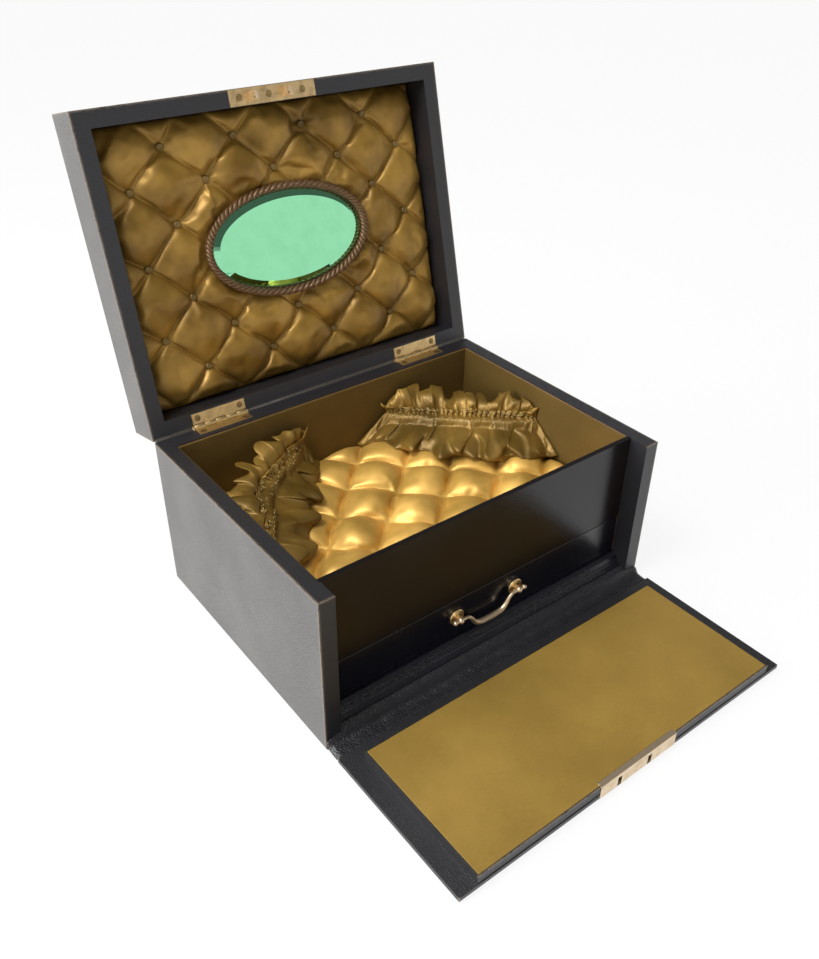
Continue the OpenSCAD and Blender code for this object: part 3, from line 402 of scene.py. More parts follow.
def padded_satin(name, opened=UNTURNED, deep=SATIN_DEEP, light=SATIN_LIGHT):
    finish = Finish(name)
    place = finish.coords(opened)
    threads = finish.noise(finish.coords(opened, (0.05, 1, 1)), 1400, 2, 0.6)
    clouds = finish.noise(place, 28, 3, 0.55)
    return finish.surface(
        Base_Color=finish.mix(clouds.step(0.3, 0.75), deep, light),
        Roughness=0.37 + threads * 0.10,
        Metallic=0.42,
        Normal=finish.bump(threads, 0.05 * mm, 0.5),
    )


# %% [markdown]
# Brass, steel, mirror, wood and the rope's bronze thread are simpler: a colour, a little tarnish in the
# roughness, and a grain or brush mark in the bump.

# %% Metal, glass and wood


def brass(name, bright=(0.90, 0.67, 0.33), dull=(0.68, 0.48, 0.22), gloss=0.24):
    finish = Finish(name)
    place = finish.coords()
    tarnish = finish.noise(place, 180, 4, 0.65)
    marks = finish.noise(finish.coords(UNTURNED, (0.12, 1, 1)), 2200, 2, 0.6)
    return finish.surface(
        Base_Color=finish.mix(tarnish.step(0.42, 0.72), bright, dull),
        Roughness=gloss + tarnish * 0.22,
        Metallic=1.0,
        Normal=finish.bump(marks, 0.03 * mm, 0.35),
    )


def steel(name):
    finish = Finish(name)
    rust = finish.noise(finish.coords(), 160, 4, 0.6)
    return finish.surface(
        Base_Color=finish.mix(rust.step(0.5, 0.8), (0.30, 0.29, 0.27), (0.16, 0.10, 0.06)),
        Roughness=0.42 + rust * 0.2,
        Metallic=0.9,
    )


def wood(name, pale=(0.34, 0.20, 0.095), dark=(0.19, 0.10, 0.045)):
    finish = Finish(name)
    grain = finish.noise(finish.coords(UNTURNED, (0.08, 1, 1)), 420, 4, 0.6)
    rings = finish.noise(finish.coords(UNTURNED, (0.1, 0.6, 1)), 60, 3, 0.5)
    return finish.surface(
        Base_Color=finish.mix((grain * 0.5 + rings * 0.6).step(0.35, 0.8), pale, dark),
        Roughness=0.58 + grain * 0.15,
        Normal=finish.bump(grain, 0.12 * mm, 0.5),
    )


def mirror(name):
    finish = Finish(name)
    haze = finish.noise(finish.coords(), 90, 3, 0.6)
    return finish.surface(
        Base_Color=finish.mix(haze.step(0.3, 0.8), (0.30, 0.74, 0.43), (0.27, 0.68, 0.39)),
        Roughness=0.02 + haze.step(0.6, 0.9) * 0.02,
        Metallic=1.0,
    )


def bronze_thread(name, opened=UNTURNED):
    finish = Finish(name)
    fibres = finish.noise(finish.coords(opened), 1600, 3, 0.6)
    return finish.surface(
        Base_Color=finish.mix(fibres.step(0.3, 0.7), (0.26, 0.15, 0.07), (0.075, 0.042, 0.022)),
        Roughness=0.36 + fibres * 0.2,
        Metallic=0.55,
        Normal=finish.bump(fibres, 0.12 * mm, 0.6),
    )


# %% [markdown]
# Hard parts keep their CAD meshes. Leather and brass have no knife edges though, so a Weld joins the
# loose triangles and a small Bevel rounds what a hand would feel. Both are modifiers: the mesh underneath
# stays as it is.

# %% Finish the hard parts


def dress(node, material, rounding=0.0):
    """Give a CAD node its material and, where asked, rounded edges."""
    part = frame["nodes"][node]
    part.data.materials.clear()
    part.data.materials.append(material)
    part.modifiers.clear()
    if rounding:
        weld = part.modifiers.new("weld", "WELD")
        weld.merge_threshold = 0.002 * mm
        bevel = part.modifiers.new("round", "BEVEL")
        bevel.width = rounding
        bevel.segments = 2
        bevel.limit_method = "ANGLE"
        bevel.angle_limit = math.radians(35)
        bevel.use_clamp_overlap = True
    return part


# %% [markdown]
# The case and the lid meet in a narrow seam, so their edges are rounded by only a tenth of a millimetre;
# the fall front is rounder. The leather of the panel and the drawer behind the fall front is blacker and
# glossier, with the grain drawn out along the box.

# %% Leather parts
case_edges = (Vector((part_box("case_leather")[0])), Vector((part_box("case_leather")[1])))
front_edges = shut_box("flap_leather", front_opened)
lid_edges = (lid_low, lid_high)
ALONG_BOX = (0.3, 1, 1)
SEAM_ROUNDING = 0.1 * mm

# The case's outer sides, and the lid's sides and chamfered top, get the painted sheen.
dress("case_leather", fine_leather("case leather", worn=case_edges, painted_sheen_top=False), SEAM_ROUNDING)
dress("lid_leather", fine_leather("lid leather", lid_opened, lid_edges, painted_sheen_top=True), SEAM_ROUNDING)
dress("flap_leather", fine_leather("fall front leather", front_opened, front_edges,
                                   ridge_tone_and_sheen=(0.018, 0.018, 0.019)), 0.35 * mm)
dress("front_panel_leather", fine_leather("panel leather", along=ALONG_BOX, black=(0.006, 0.004, 0.004),
                                          ridge_tone_and_sheen=(0.008, 0.006, 0.006), gloss=0.16, relief=0.05 * mm,
                                          ior=1.42), 0.25 * mm)
dress("drawer_front_leather", fine_leather("drawer leather", along=ALONG_BOX, black=(0.002, 0.002, 0.005),
                                           ridge_tone_and_sheen=(0.006, 0.006, 0.011), gloss=0.17, relief=0.05 * mm),
      0.25 * mm)
dress("sill_rail", fine_leather("sill leather", along=ALONG_BOX, black=(0.004, 0.004, 0.008),
                                ridge_tone_and_sheen=(0.008, 0.008, 0.013), gloss=0.22), 0.3 * mm)
dress("base_cover", fine_leather("base leather"), 0.2 * mm)
print("fall front shut", *front_edges)

# %% [markdown]
# The compartment and the drawer are lined with cards wrapped in silk, darker than the panel on the fall
# front. The boards underneath are wood, a guess, since the leather and the linings hide nearly all of it.

# %% Linings and boards
lining_silk = flat_silk("lining silk", dark=(0.095, 0.057, 0.010), light=(0.205, 0.124, 0.026))
for node in ("front_lining", "back_lining", "left_lining", "right_lining", "drawer_lining"):
    dress(node, lining_silk, 0.3 * mm)
dress("silk_panel", flat_silk("panel silk", front_opened), 0.3 * mm)

board_wood = wood("board wood")
drawer_wood = wood("drawer wood", (0.44, 0.28, 0.14), (0.27, 0.15, 0.07))
for row in frame["record"]["subparts"]:
    if row["material_slot"] == "box_wood":
        dress(row["node"], board_wood)
    if row["material_slot"] == "drawer_wood":
        dress(row["node"], drawer_wood, 0.3 * mm)
print("linings and boards dressed")

# %% [markdown]
# All fittings are brass, but each has aged in its own way: bright hinges and handle, a pinker lock plate,
# a browner strike plate, and dark screws in their countersinks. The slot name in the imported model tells
# which is which.

# %% Fittings and mirror
plain_brass = brass("brass")
lock_brass = brass("lock brass", (0.80, 0.64, 0.44), (0.64, 0.49, 0.31), 0.3)
strike_brass = brass("strike brass", (0.76, 0.55, 0.28), (0.52, 0.37, 0.19), 0.3)
lock_steel = steel("lock steel")
for row in frame["record"]["subparts"]:
    if row["material_slot"] == "brass":
        dress(row["node"], plain_brass, 0.15 * mm)
    if row["material_slot"] == "bright_brass":
        dress(row["node"], lock_brass, 0.12 * mm)
    if row["material_slot"] == "lock_steel":
        dress(row["node"], lock_steel, 0.15 * mm)
dress("strike_plate", strike_brass, 0.12 * mm)
screw_brass = brass("screw brass", (0.42, 0.29, 0.13), (0.20, 0.13, 0.06), 0.34)
for row in frame["record"]["subparts"]:
    if "screw" in row["node"]:
        dress(row["node"], screw_brass)
dress("lid_front_rail", wood("rail in the notches", (0.055, 0.034, 0.018), (0.030, 0.018, 0.010)))
dress("mirror_glass", mirror("silvered glass"))
dress("mirror_card", wood("mirror card"))
print("parts dressed", sum(len(part.data.materials) > 0 for part in frame["nodes"].values()))

# %% [markdown]
# Cloth that is padded or gathered can't be drawn by rule alone, because real satin wrinkles where it is
# pulled. So a rule gives the first shape and a short cloth simulation settles it. Points that the maker
# stitched are held; the rest is a little larger than its space and is pushed out, as stuffing pushes it.

# %% Cloth helpers


def grown(mesh, name):
    """A new piece from a mesh, at the origin."""
    piece = bpy.data.objects.new(name, mesh)
    scene.collection.objects.link(piece)
    return piece


def settled(piece, holds, growth, push, frames, weight=0.0, bending=0.3, tension=12.0, cap=6 * mm):
    """Let a piece of cloth settle, held where holds is near 1, and keep the shape that it ends in."""
    start = np.array([v.co for v in piece.data.vertices])
    group = piece.vertex_groups.new(name="held")
    for index, hold in enumerate(holds):
        if hold > 0:
            group.add([index], float(hold), "REPLACE")
    modifier = piece.modifiers.new("cloth", "CLOTH")
    cloth = modifier.settings
    cloth.quality = 6
    cloth.mass = 0.15
    cloth.tension_stiffness = cloth.compression_stiffness = tension
    cloth.shear_stiffness = tension / 2
    cloth.bending_stiffness = bending
    cloth.vertex_group_mass = "held"
    cloth.shrink_min = -growth
    cloth.use_pressure = push > 0
    cloth.uniform_pressure_force = push
    cloth.effector_weights.gravity = weight
    modifier.point_cache.frame_start = 1
    modifier.point_cache.frame_end = frames
    for frame_number in range(1, frames + 1):
        scene.frame_set(frame_number)
    graph = bpy.context.evaluated_depsgraph_get()
    end = np.array([v.co for v in piece.evaluated_get(graph).data.vertices])
    piece.modifiers.remove(modifier)
    scene.frame_set(1)
    moved = end - start
    far = np.linalg.norm(moved, axis=1, keepdims=True)
    moved *= np.minimum(1, cap / np.maximum(far, 1e-9))
    piece.data.vertices.foreach_set("co", (start + moved).ravel())
    piece.data.update()
    print(piece.name, "settled, largest move", round(float(far.max()) / mm, 2), "mm")
    return piece


def baked(piece):
    """Replace a piece's mesh by what its modifiers make of it."""
    graph = bpy.context.evaluated_depsgraph_get()
    mesh = bpy.data.meshes.new_from_object(piece.evaluated_get(graph))
    piece.modifiers.clear()
    piece.data = mesh
    return piece


def subdivided(piece):
    """One subdivision, so that folds run on without facets."""
    smooth = piece.modifiers.new("subdivide", "SUBSURF")
    smooth.levels = smooth.render_levels = 1
    return baked(piece)


def finished(piece, material):
    """Smooth shading and a material."""
    piece.data.materials.clear()
    piece.data.materials.append(material)
    piece.data.shade_smooth()
    return piece


def smooth_field(x, y, size, seed):
    """A soft random field between about -1 and 1, from a few sine waves with seeded directions."""
    rng = np.random.default_rng(seed)
    total = np.zeros_like(x)
    for _ in range(6):
        angle, phase = rng.uniform(0, 2 * math.pi, 2)
        pace = rng.uniform(0.7, 1.5) * 2 * math.pi / size
        total += np.sin((x * math.cos(angle) + y * math.sin(angle)) * pace + phase)
    return total / 3


# %% [markdown]
# The lid's quilt and the compartment's pad are both diamond tufting: stuffing under satin, drawn down at
# the corners of a lattice, with a fold in the cloth from each tuft to the next. The grid of the mesh
# follows those folds, so each fold is one clean line of edges, and the outline is cut out of that slanted
# grid.

# %% Tufted cloth


def swell_from(distance, width):
    """0 at an edge, 1 from width inwards, round as a pillow's side."""
    near = 1 - np.clip(distance / width, 0, 1)
    return np.sqrt(1 - near * near)


def pulled_wrinkles(x, y, centre, pitch, seed):
    """Small folds that run out of every tuft like spokes and fade within a centimetre or two."""
    rng = np.random.default_rng(seed + 7)
    total = np.zeros_like(x)
    for row in range(-5, 6):
        for step in range(-4, 5):
            dx = x - centre[0] - (step + (0.5 if row % 2 else 0)) * pitch[0]
            dy = y - centre[1] - row * pitch[1]
            far = np.hypot(dx, dy)
            spokes = rng.integers(5, 9)
            phase = rng.uniform(0, math.tau)
            size = rng.uniform(0.3, 0.75)
            fade = np.minimum(1, far / (4 * mm)) * np.exp(-far / (9 * mm))
            total += size * mm * fade * np.sin(spokes * np.arctan2(dy, dx) + phase)
    return total


def grid_faces(index):
    """The four-sided faces of a grid of point numbers; a number below 0 is a point that was left out."""
    rows, columns = index.shape
    corners = [
        (index[i, j], index[i + 1, j], index[i + 1, j + 1], index[i, j + 1])
        for i in range(rows - 1)
        for j in range(columns - 1)
    ]
    return [tuple(int(k) for k in face) for face in corners if min(face) >= 0]


def cut_to_rectangle(shape, low, high):
    """Cut a bmesh along the four sides of a rectangle and drop what lies outside."""
    sides = [
        ((low[0], 0, 0), (-1, 0, 0)),
        ((high[0], 0, 0), (1, 0, 0)),
        ((0, low[1], 0), (0, -1, 0)),
        ((0, high[1], 0), (0, 1, 0)),
    ]
    for at, out in sides:
        everything = shape.verts[:] + shape.edges[:] + shape.faces[:]
        bmesh.ops.bisect_plane(
            shape, geom=everything, plane_co=at, plane_no=out, clear_outer=True, dist=1e-7
        )


# %% [markdown]
# The height of each point is a rule: a crest in the middle of every diamond, a valley along the folds,
# the tufts deepest, a pillow's round side at the outline, and a little unevenness, because no two
# handfuls of stuffing are the same. The simulation later adds what the rule can't.

# %% Tufted cloth over a rectangle


def tufted(name, low, high, centre, pitch, cells, heights, width, wander, seed):
    """Tufted cloth: heights are those of its edge, its tufts and its crests, in metres."""
    (x0, y0), (x1, y1) = low, high
    edge, valley, crest = heights
    reach_u = int(max(x1 - centre[0], centre[0] - x0) / pitch[0] + 1.5)
    reach_v = int(max(y1 - centre[1], centre[1] - y0) / (2 * pitch[1]) + 1.5)
    n = (reach_u + reach_v) * cells
    steps = np.arange(-n, n + 1) / cells
    a, b = np.meshgrid(steps, steps, indexing="ij")
    x = centre[0] + (a + b) / 2 * pitch[0]
    y = centre[1] + (a - b) * pitch[1]
    stray = wander * np.sin(math.pi * (a - b))
    x = x + stray * smooth_field(x, y, 90 * mm, seed)
    y = y + stray * 0.6 * smooth_field(x, y, 70 * mm, seed + 1)
    swell = swell_from(np.minimum(x - x0, x1 - x), width)
    swell = swell * swell_from(np.minimum(y - y0, y1 - y), width)
    puff = np.abs(np.sin(math.pi * a) * np.sin(math.pi * b)) ** 0.5
    uneven = 1 + 0.16 * smooth_field(x, y, 60 * mm, seed + 2)
    height = edge + swell * (valley - edge + (crest - valley) * puff * uneven)
    height += swell * pulled_wrinkles(x, y, centre, pitch, seed)
    fold = np.minimum(np.abs(a - np.round(a)), np.abs(b - np.round(b))) * cells
    tuft = np.maximum(np.abs(a - np.round(a)), np.abs(b - np.round(b))) * cells
    hold = np.where(tuft < 0.6, 1.0, np.where(fold < 0.5, 0.35, 0.0)) * (swell > 0.5)

    count = 2 * n + 1
    spare = 8 * mm
    inside = (x > x0 - spare) & (x < x1 + spare) & (y > y0 - spare) & (y < y1 + spare)
    index = np.full((count, count), -1)
    index[inside] = np.arange(inside.sum())
    mesh = bpy.data.meshes.new(name)
    points = np.stack([x[inside], y[inside], height[inside]], 1).tolist()
    mesh.from_pydata(points, [], grid_faces(index))
    mesh.attributes.new("hold", "FLOAT", "POINT").data.foreach_set("value", hold[inside])
    shape = bmesh.new()
    shape.from_mesh(mesh)
    cut_to_rectangle(shape, low, high)
    bmesh.ops.remove_doubles(shape, verts=shape.verts[:], dist=0.25 * mm)
    layer = shape.verts.layers.float["hold"]
    for vertex in shape.verts:
        if vertex.is_boundary:
            vertex.co.z = edge
            vertex[layer] = 1.0
    shape.normal_update()
    if sum(face.normal.z for face in shape.faces) < 0:
        bmesh.ops.reverse_faces(shape, faces=shape.faces[:])
    shape.to_mesh(mesh)
    shape.free()
    return grown(mesh, name)


# %% [markdown]
# Two small helpers finish a tufted cloth: one reads back which points are stitched down, the other closes
# the cloth into a cushion with straight sides and a flat underside, as it sits on its board.

# %% Closing a cushion


def held_values(piece):
    values = np.zeros(len(piece.data.vertices))
    piece.data.attributes["hold"].data.foreach_get("value", values)
    return values


def closed_below(piece, depth):
    """Give an open cloth straight sides down to a flat underside."""
    shape = bmesh.new()
    shape.from_mesh(piece.data)
    rim = [edge for edge in shape.edges if edge.is_boundary]
    made = bmesh.ops.extrude_edge_only(shape, edges=rim)["geom"]
    for vertex in (g for g in made if isinstance(g, bmesh.types.BMVert)):
        vertex.co.z = depth
    edges = [g for g in made if isinstance(g, bmesh.types.BMEdge)]
    lower = [edge for edge in edges if all(v.co.z == depth for v in edge.verts)]
    bmesh.ops.contextual_create(shape, geom=lower)
    bmesh.ops.recalc_face_normals(shape, faces=shape.faces[:])
    shape.to_mesh(piece.data)
    shape.free()
    return piece


# %% [markdown]
# The lid's quilt is held by covered buttons, and the mirror sits in the middle of it on a card. The cloth
# lies flat under that card and swells up again around the rope.

# %% Lid quilt
quilt_low, quilt_high = shut_box("lid_quilt", lid_opened)
card_low, card_high = shut_box("mirror_card", lid_opened)
rope_low, rope_high = shut_box("mirror_rope", lid_opened)
board_z = quilt_high.z
mirror_centre = (card_low + card_high) / 2
QUILT_PITCH = (50 * mm, 23.1 * mm)
quilt_heights = (4.9 * mm, 10.0 * mm, 16.6 * mm)
over = Matrix.Translation((0, 0, board_z)) @ Matrix.Rotation(math.pi, 4, "X")

quilt = tufted("lid_quilt_satin", (quilt_low.x, -quilt_high.y), (quilt_high.x, -quilt_low.y),
               (mirror_centre.x, -mirror_centre.y), QUILT_PITCH, 14, quilt_heights, 17 * mm, 2.4 * mm, 5)


def under_mirror(x, y, grow):
    """How far inside the mirror's oval a place on the quilt is: below 1 inside, above 1 outside."""
    a = (rope_high.x - rope_low.x) / 2 + grow
    b = (rope_high.y - rope_low.y) / 2 + grow
    return np.hypot((x - mirror_centre.x) / a, (y + mirror_centre.y) / b)


points = np.array([v.co for v in quilt.data.vertices])
seat = board_z - card_high.z - 0.3 * mm
oval = under_mirror(points[:, 0], points[:, 1], 0)
pressed = np.clip((oval - 0.97) / 0.12, 0, 1) ** 0.5
points[:, 2] = np.minimum(points[:, 2], seat) * (1 - pressed) + points[:, 2] * pressed
quilt.data.vertices.foreach_set("co", points.ravel())
quilt_holds = np.where(oval < 0.98, 1.0, held_values(quilt))
settled(quilt, quilt_holds, 0.09, 3.5, 22, cap=7 * mm)
closed_below(subdivided(quilt), 0.0)
quilt.data.transform(lid_opened @ over)
quilt_satin = padded_satin("quilt satin", lid_opened)
finished(quilt, quilt_satin)
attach(quilt, "lid")
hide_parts("lid_quilt")
print("quilt", len(quilt.data.polygons), "faces")

# %% [markdown]
# The floor of the compartment is the same tufting without buttons: slightly smaller diamonds and higher
# puffs, in a lighter gold than the lid's.

# %% Floor pad
pad_low, pad_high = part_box("floor_pad")
PAD_PITCH = (47.5 * mm, 22.7 * mm)
pad_centre = (2 * mm, 14 * mm)
pad_heights = (2.6 * mm, 9 * mm, 18 * mm)
pad = tufted("floor_pad_satin", (pad_low.x, pad_low.y), (pad_high.x, pad_high.y), pad_centre, PAD_PITCH, 14,
             pad_heights, 16 * mm, 3.0 * mm, 11)
settled(pad, held_values(pad), 0.05, 3.0, 22, cap=4 * mm)
closed_below(subdivided(pad), 0.0)
pad.data.transform(Matrix.Translation((0, 0, pad_low.z)))
finished(pad, padded_satin("pad satin", deep=(0.48, 0.28, 0.052), light=(0.90, 0.54, 0.130)))
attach(pad, "case")
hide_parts("floor_pad")
print("pad", len(pad.data.polygons), "faces")

# %% [markdown]
# Each back corner has a pocket of thin satin: a hem sewn to the floor, an elastic band that draws it in
# across the corner, and a ruffle that stands above the band. Its two pockets have slumped differently, so
# each has its own three lines: hem, band and top edge. Between those lines the cloth carries the fine
# gathers of the elastic and the larger folds that they run into.

# %% Pocket lines, in millimetres


def smooth_line(points, count):
    """Points at even steps along a smooth curve through a few chosen ones."""
    p = np.array(points, float)
    p = np.vstack([2 * p[0] - p[1], p, 2 * p[-1] - p[-2]])
    t = np.linspace(0, 1, 24, endpoint=False)[:, None]
    runs = [
        0.5 * (2 * b + (c - a) * t + (2 * a - 5 * b + 4 * c - d) * t**2 + (3 * b - a - 3 * c + d) * t**3)
        for a, b, c, d in zip(p, p[1:], p[2:], p[3:])
    ]
    dense = np.vstack([*runs, p[-2]])
    along = np.concatenate([[0], np.cumsum(np.linalg.norm(np.diff(dense, axis=0), axis=1))])
    even = np.linspace(0, along[-1], count)
    return np.stack([np.interp(even, along, dense[:, k]) for k in range(3)], 1)


POCKETS = {
    "right": {
        "hem": [(16, 81, 63), (38, 44, 71), (68, 8, 72), (98, -16, 72), (118, -24, 68)],
        "band": [(42, 79, 83), (60, 56, 85), (84, 33, 86), (104, 14, 86.5), (118, 2, 87)],
        "top": [(37, 80, 92), (60, 79, 104), (84, 62, 100), (104, 38, 100), (117, 18, 105), (118, 0, 97)],
    },
    "left": {
        "hem": [(-20, 81, 63), (-46, 44, 71), (-72, 10, 72), (-96, -22, 72), (-118, -38, 68)],
        "band": [(-30, 79, 84), (-60, 58, 86), (-86, 40, 86), (-100, 8, 86), (-117, -24, 80)],
        "top": [
            (-25, 80, 94), (-46, 79, 104), (-78, 70, 100), (-104, 46, 98), (-115, 10, 97), (-118, -21, 88),
        ],
    },
}
BAND_AT = 0.6
GATHERS = 27


def pocket_shape(lines, seed, columns=216, rows=44):
    """The pocket's cloth as a grid of points, hem to top edge, with its gathers and folds."""
    rng = np.random.default_rng(seed)
    hem, band, top = [smooth_line(lines[key], columns + 1) for key in ("hem", "band", "top")]
    along = np.gradient(band[:, :2], axis=0)
    along /= np.linalg.norm(along, axis=1, keepdims=True)
    out = np.stack([along[:, 1], -along[:, 0]], 1)
    if (band[:, :2] * out).sum() > 0:
        out = -out
    s = np.linspace(0, 1, columns + 1)
    ends = np.sin(math.pi * s) ** 0.35
    phase = rng.uniform(0, 2 * math.pi, 8)
    beat = s + 0.010 * np.sin(2 * math.pi * 5.3 * s + phase[0])
    beat = beat + 0.006 * np.sin(2 * math.pi * 11 * s + phase[1])
    grid = np.zeros((rows + 1, columns + 1, 3))
    for row in range(rows + 1):
        t = row / rows
        if t <= BAND_AT:
            u = t / BAND_AT
            base = hem * (1 - u) + band * u
            belly = 14 * math.sin(math.pi * u**0.6) * ends
            gather = 1.5 * math.exp(-((1 - u) / 0.22))
            fold = 5.2 * math.sin(math.pi * u**0.8)
            skew, runs, curl = 0.16 * (1 - u), (4.4, 7.3, 13), 1.5 * math.sin(math.pi * u)
            sag = 4.0 * math.sin(math.pi * u) * ends
        else:
            v = (t - BAND_AT) / (1 - BAND_AT)
            base = band * (1 - v) + top * v
            belly = 3.5 * math.sin(math.pi * v) * ends
            gather = 1.7 * math.exp(-v / 0.6)
            fold = 4.6 * v**0.8
            skew, runs, curl = 0.03 * v, (7.7, 12.7, 19), 1.5 * v
            sag = 6.0 * math.sin(math.pi * v) * ends
        wave = np.sin(2 * math.pi * GATHERS * beat)
        turn = math.tau * runs[0] * (s + skew) + phase[2]
        big = np.sin(turn) + 0.6 * np.sin(math.tau * runs[1] * (s - skew) + phase[3])
        big = big + 0.35 * np.sin(math.tau * runs[2] * s + phase[4] + 3 * t)
        shift = belly + (gather * wave + fold * big) * ends
        slide = gather * np.cos(2 * math.pi * GATHERS * beat) * 0.5 - curl * np.sin(2 * turn)
        grid[row, :, :2] = base[:, :2] + out * shift[:, None] + along * (slide * ends)[:, None]
        uneven = 0.5 * fold * np.sin(2 * math.pi * 5.1 * s + phase[6]) * ends * (t > BAND_AT)
        grid[row, :, 2] = base[:, 2] + sag + uneven
    return grid * mm


# %% [markdown]
# A pocket lies in its corner of the compartment, so its cloth is kept off the linings and above the
# padded floor. The floor is found by looking straight down from each point of the cloth.

# %% Room for the pockets
room_low = Vector((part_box("left_lining")[1].x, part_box("front_lining")[1].y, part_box("left_lining")[0].z))
room_high = Vector((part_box("right_lining")[0].x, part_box("back_lining")[0].y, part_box("left_lining")[1].z))


WALL_GAP = 0.7 * mm
PAD_GAP = 0.8 * mm


def surface_of(piece):
    """A search tree over a piece as it shows."""
    return BVHTree.FromObject(piece, bpy.context.evaluated_depsgraph_get())


def kept_clear(points, ground, gap):
    """Keep points inside the compartment and above what lies on its floor."""
    points[:, 0] = np.clip(points[:, 0], room_low.x + WALL_GAP, room_high.x - WALL_GAP)
    points[:, 1] = np.clip(points[:, 1], room_low.y + WALL_GAP, room_high.y - WALL_GAP)
    for point in points:
        hit, *_ = ground.ray_cast(Vector((point[0], point[1], room_high.z)), Vector((0, 0, -1)))
        if hit and point[2] < hit.z + gap:
            point[2] = hit.z + gap
    return points


print("room", room_low, room_high)

# %% [markdown]
# The shape above is then run as cloth for a moment, held at the hem, the band and both ends. Nothing
# stops the cloth in that simulation and most of it would move too far, so each point may move 6 mm at
# most, and the room's limits are applied again after it. The folds are therefore mostly those of the rule
# above, not those of a settled cloth. The flat size is worked out from the finished mesh, so it says
# nothing about stretch.

# %% Pockets
pad_surface = surface_of(pad)
pocket_satin = padded_satin("pocket satin", deep=(0.120, 0.068, 0.009), light=(0.310, 0.180, 0.033))
sewn = {}
for side, lines in POCKETS.items():
    grid = pocket_shape(lines, 21 if side == "right" else 34)
    rows, columns = grid.shape[0] - 1, grid.shape[1] - 1
    points = kept_clear(grid.reshape(-1, 3), pad_surface, PAD_GAP)
    wide = columns + 1
    quads = [
        (r * wide + c, r * wide + c + 1, (r + 1) * wide + c + 1, (r + 1) * wide + c)
        for r in range(rows)
        for c in range(columns)
    ]
    if side == "left":
        quads = [q[::-1] for q in quads]
    mesh = bpy.data.meshes.new(f"{side}_pocket")
    mesh.from_pydata(points.tolist(), [], quads)
    pocket = grown(mesh, f"{side}_pocket_satin")
    held = np.zeros((rows + 1, columns + 1))
    band_row = round(BAND_AT * rows)
    held[0] = 1
    held[band_row - 1 : band_row + 2] = 1
    held[:, 0] = held[:, -1] = 1
    settled(pocket, held.ravel(), 0.05, 0.0, 14, weight=0.4, bending=0.08, tension=8, cap=6 * mm)
    points = kept_clear(np.array([v.co for v in pocket.data.vertices]), pad_surface, PAD_GAP)
    pocket.data.vertices.foreach_set("co", points.ravel())
    pocket.data.update()
    sewn[side] = points.reshape(rows + 1, columns + 1, 3)[band_row - 2 : band_row + 3]
    skin = subdivided(pocket).modifiers.new("thickness", "SOLIDIFY")
    skin.thickness = 0.35 * mm
    skin.offset = 0
    finished(baked(pocket), pocket_satin)
    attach(pocket, "case")
    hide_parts(f"{side}_pouch")


# %% [markdown]
# Things that repeat come from Geometry Nodes: a tree says the rule once, and its inputs say how big and
# how many. The tree's result is turned into a plain mesh, because a part that moves or is exported should
# carry no recipe.

# %% Geometry Nodes helper


class Pattern(Tree):
    """A Geometry Nodes tree with named inputs; made() gives its result as a plain piece."""

    def __init__(self, name, inputs):
        super().__init__(bpy.data.node_groups.new(name, "GeometryNodeTree"))
        face = self.tree.interface
        face.new_socket(name="Start", in_out="INPUT", socket_type="NodeSocketGeometry")
        self.values = {}
        for key, value in inputs.items():
            kind = "NodeSocketInt" if isinstance(value, int) else "NodeSocketFloat"
            self.values[face.new_socket(name=key, in_out="INPUT", socket_type=kind).identifier] = value
        face.new_socket(name="Mesh", in_out="OUTPUT", socket_type="NodeSocketGeometry")
        self.given = self.tree.nodes.new("NodeGroupInput")

    def input(self, key):
        return Wire(self, self.given.outputs[key])

    def made(self, name, geometry, material, start=None):
        real = self.node("GeometryNodeRealizeInstances", {}, {"Geometry": geometry})
        coloured = self.node("GeometryNodeSetMaterial", {}, {"Geometry": real, "Material": material})
        self.tree.links.new(coloured.socket, self.tree.nodes.new("NodeGroupOutput").inputs[0])
        piece = grown(start or bpy.data.meshes.new(name), name)
        modifier = piece.modifiers.new("pattern", "NODES")
        modifier.node_group = self.tree
        for identifier, value in self.values.items():
            modifier[identifier] = value
        baked(piece)
        piece.data.shade_smooth()
        print(name, len(piece.data.polygons), "faces")
        return piece


def turned_profile(name, outline, sides):
    """A mesh turned about Z from an outline of (radius, height) points, closed at both ends."""
    shape = bmesh.new()
    rings = []
    for radius, height in outline:
        if radius == 0:
            rings.append([shape.verts.new((0, 0, height))])
        else:
            turns = [k * math.tau / sides for k in range(sides)]
            ring = [(radius * math.cos(turn), radius * math.sin(turn), height) for turn in turns]
            rings.append([shape.verts.new(point) for point in ring])
    for lower, upper in zip(rings, rings[1:]):
        for k in range(sides):
            m = (k + 1) % sides
            below = [lower[k % len(lower)], lower[m % len(lower)]]
            corners = [*below, upper[m % len(upper)], upper[k % len(upper)]]
            shape.faces.new(list(dict.fromkeys(corners)))
    bmesh.ops.recalc_face_normals(shape, faces=shape.faces[:])
    mesh = bpy.data.meshes.new(name)
    shape.to_mesh(mesh)
    shape.free()
    return mesh


# %% [markdown]
# The mirror is framed by a twisted rope of three bronze threads. One thread is an ellipse whose points
# are pushed round a small circle as they go along; the other two start a third of a turn later.

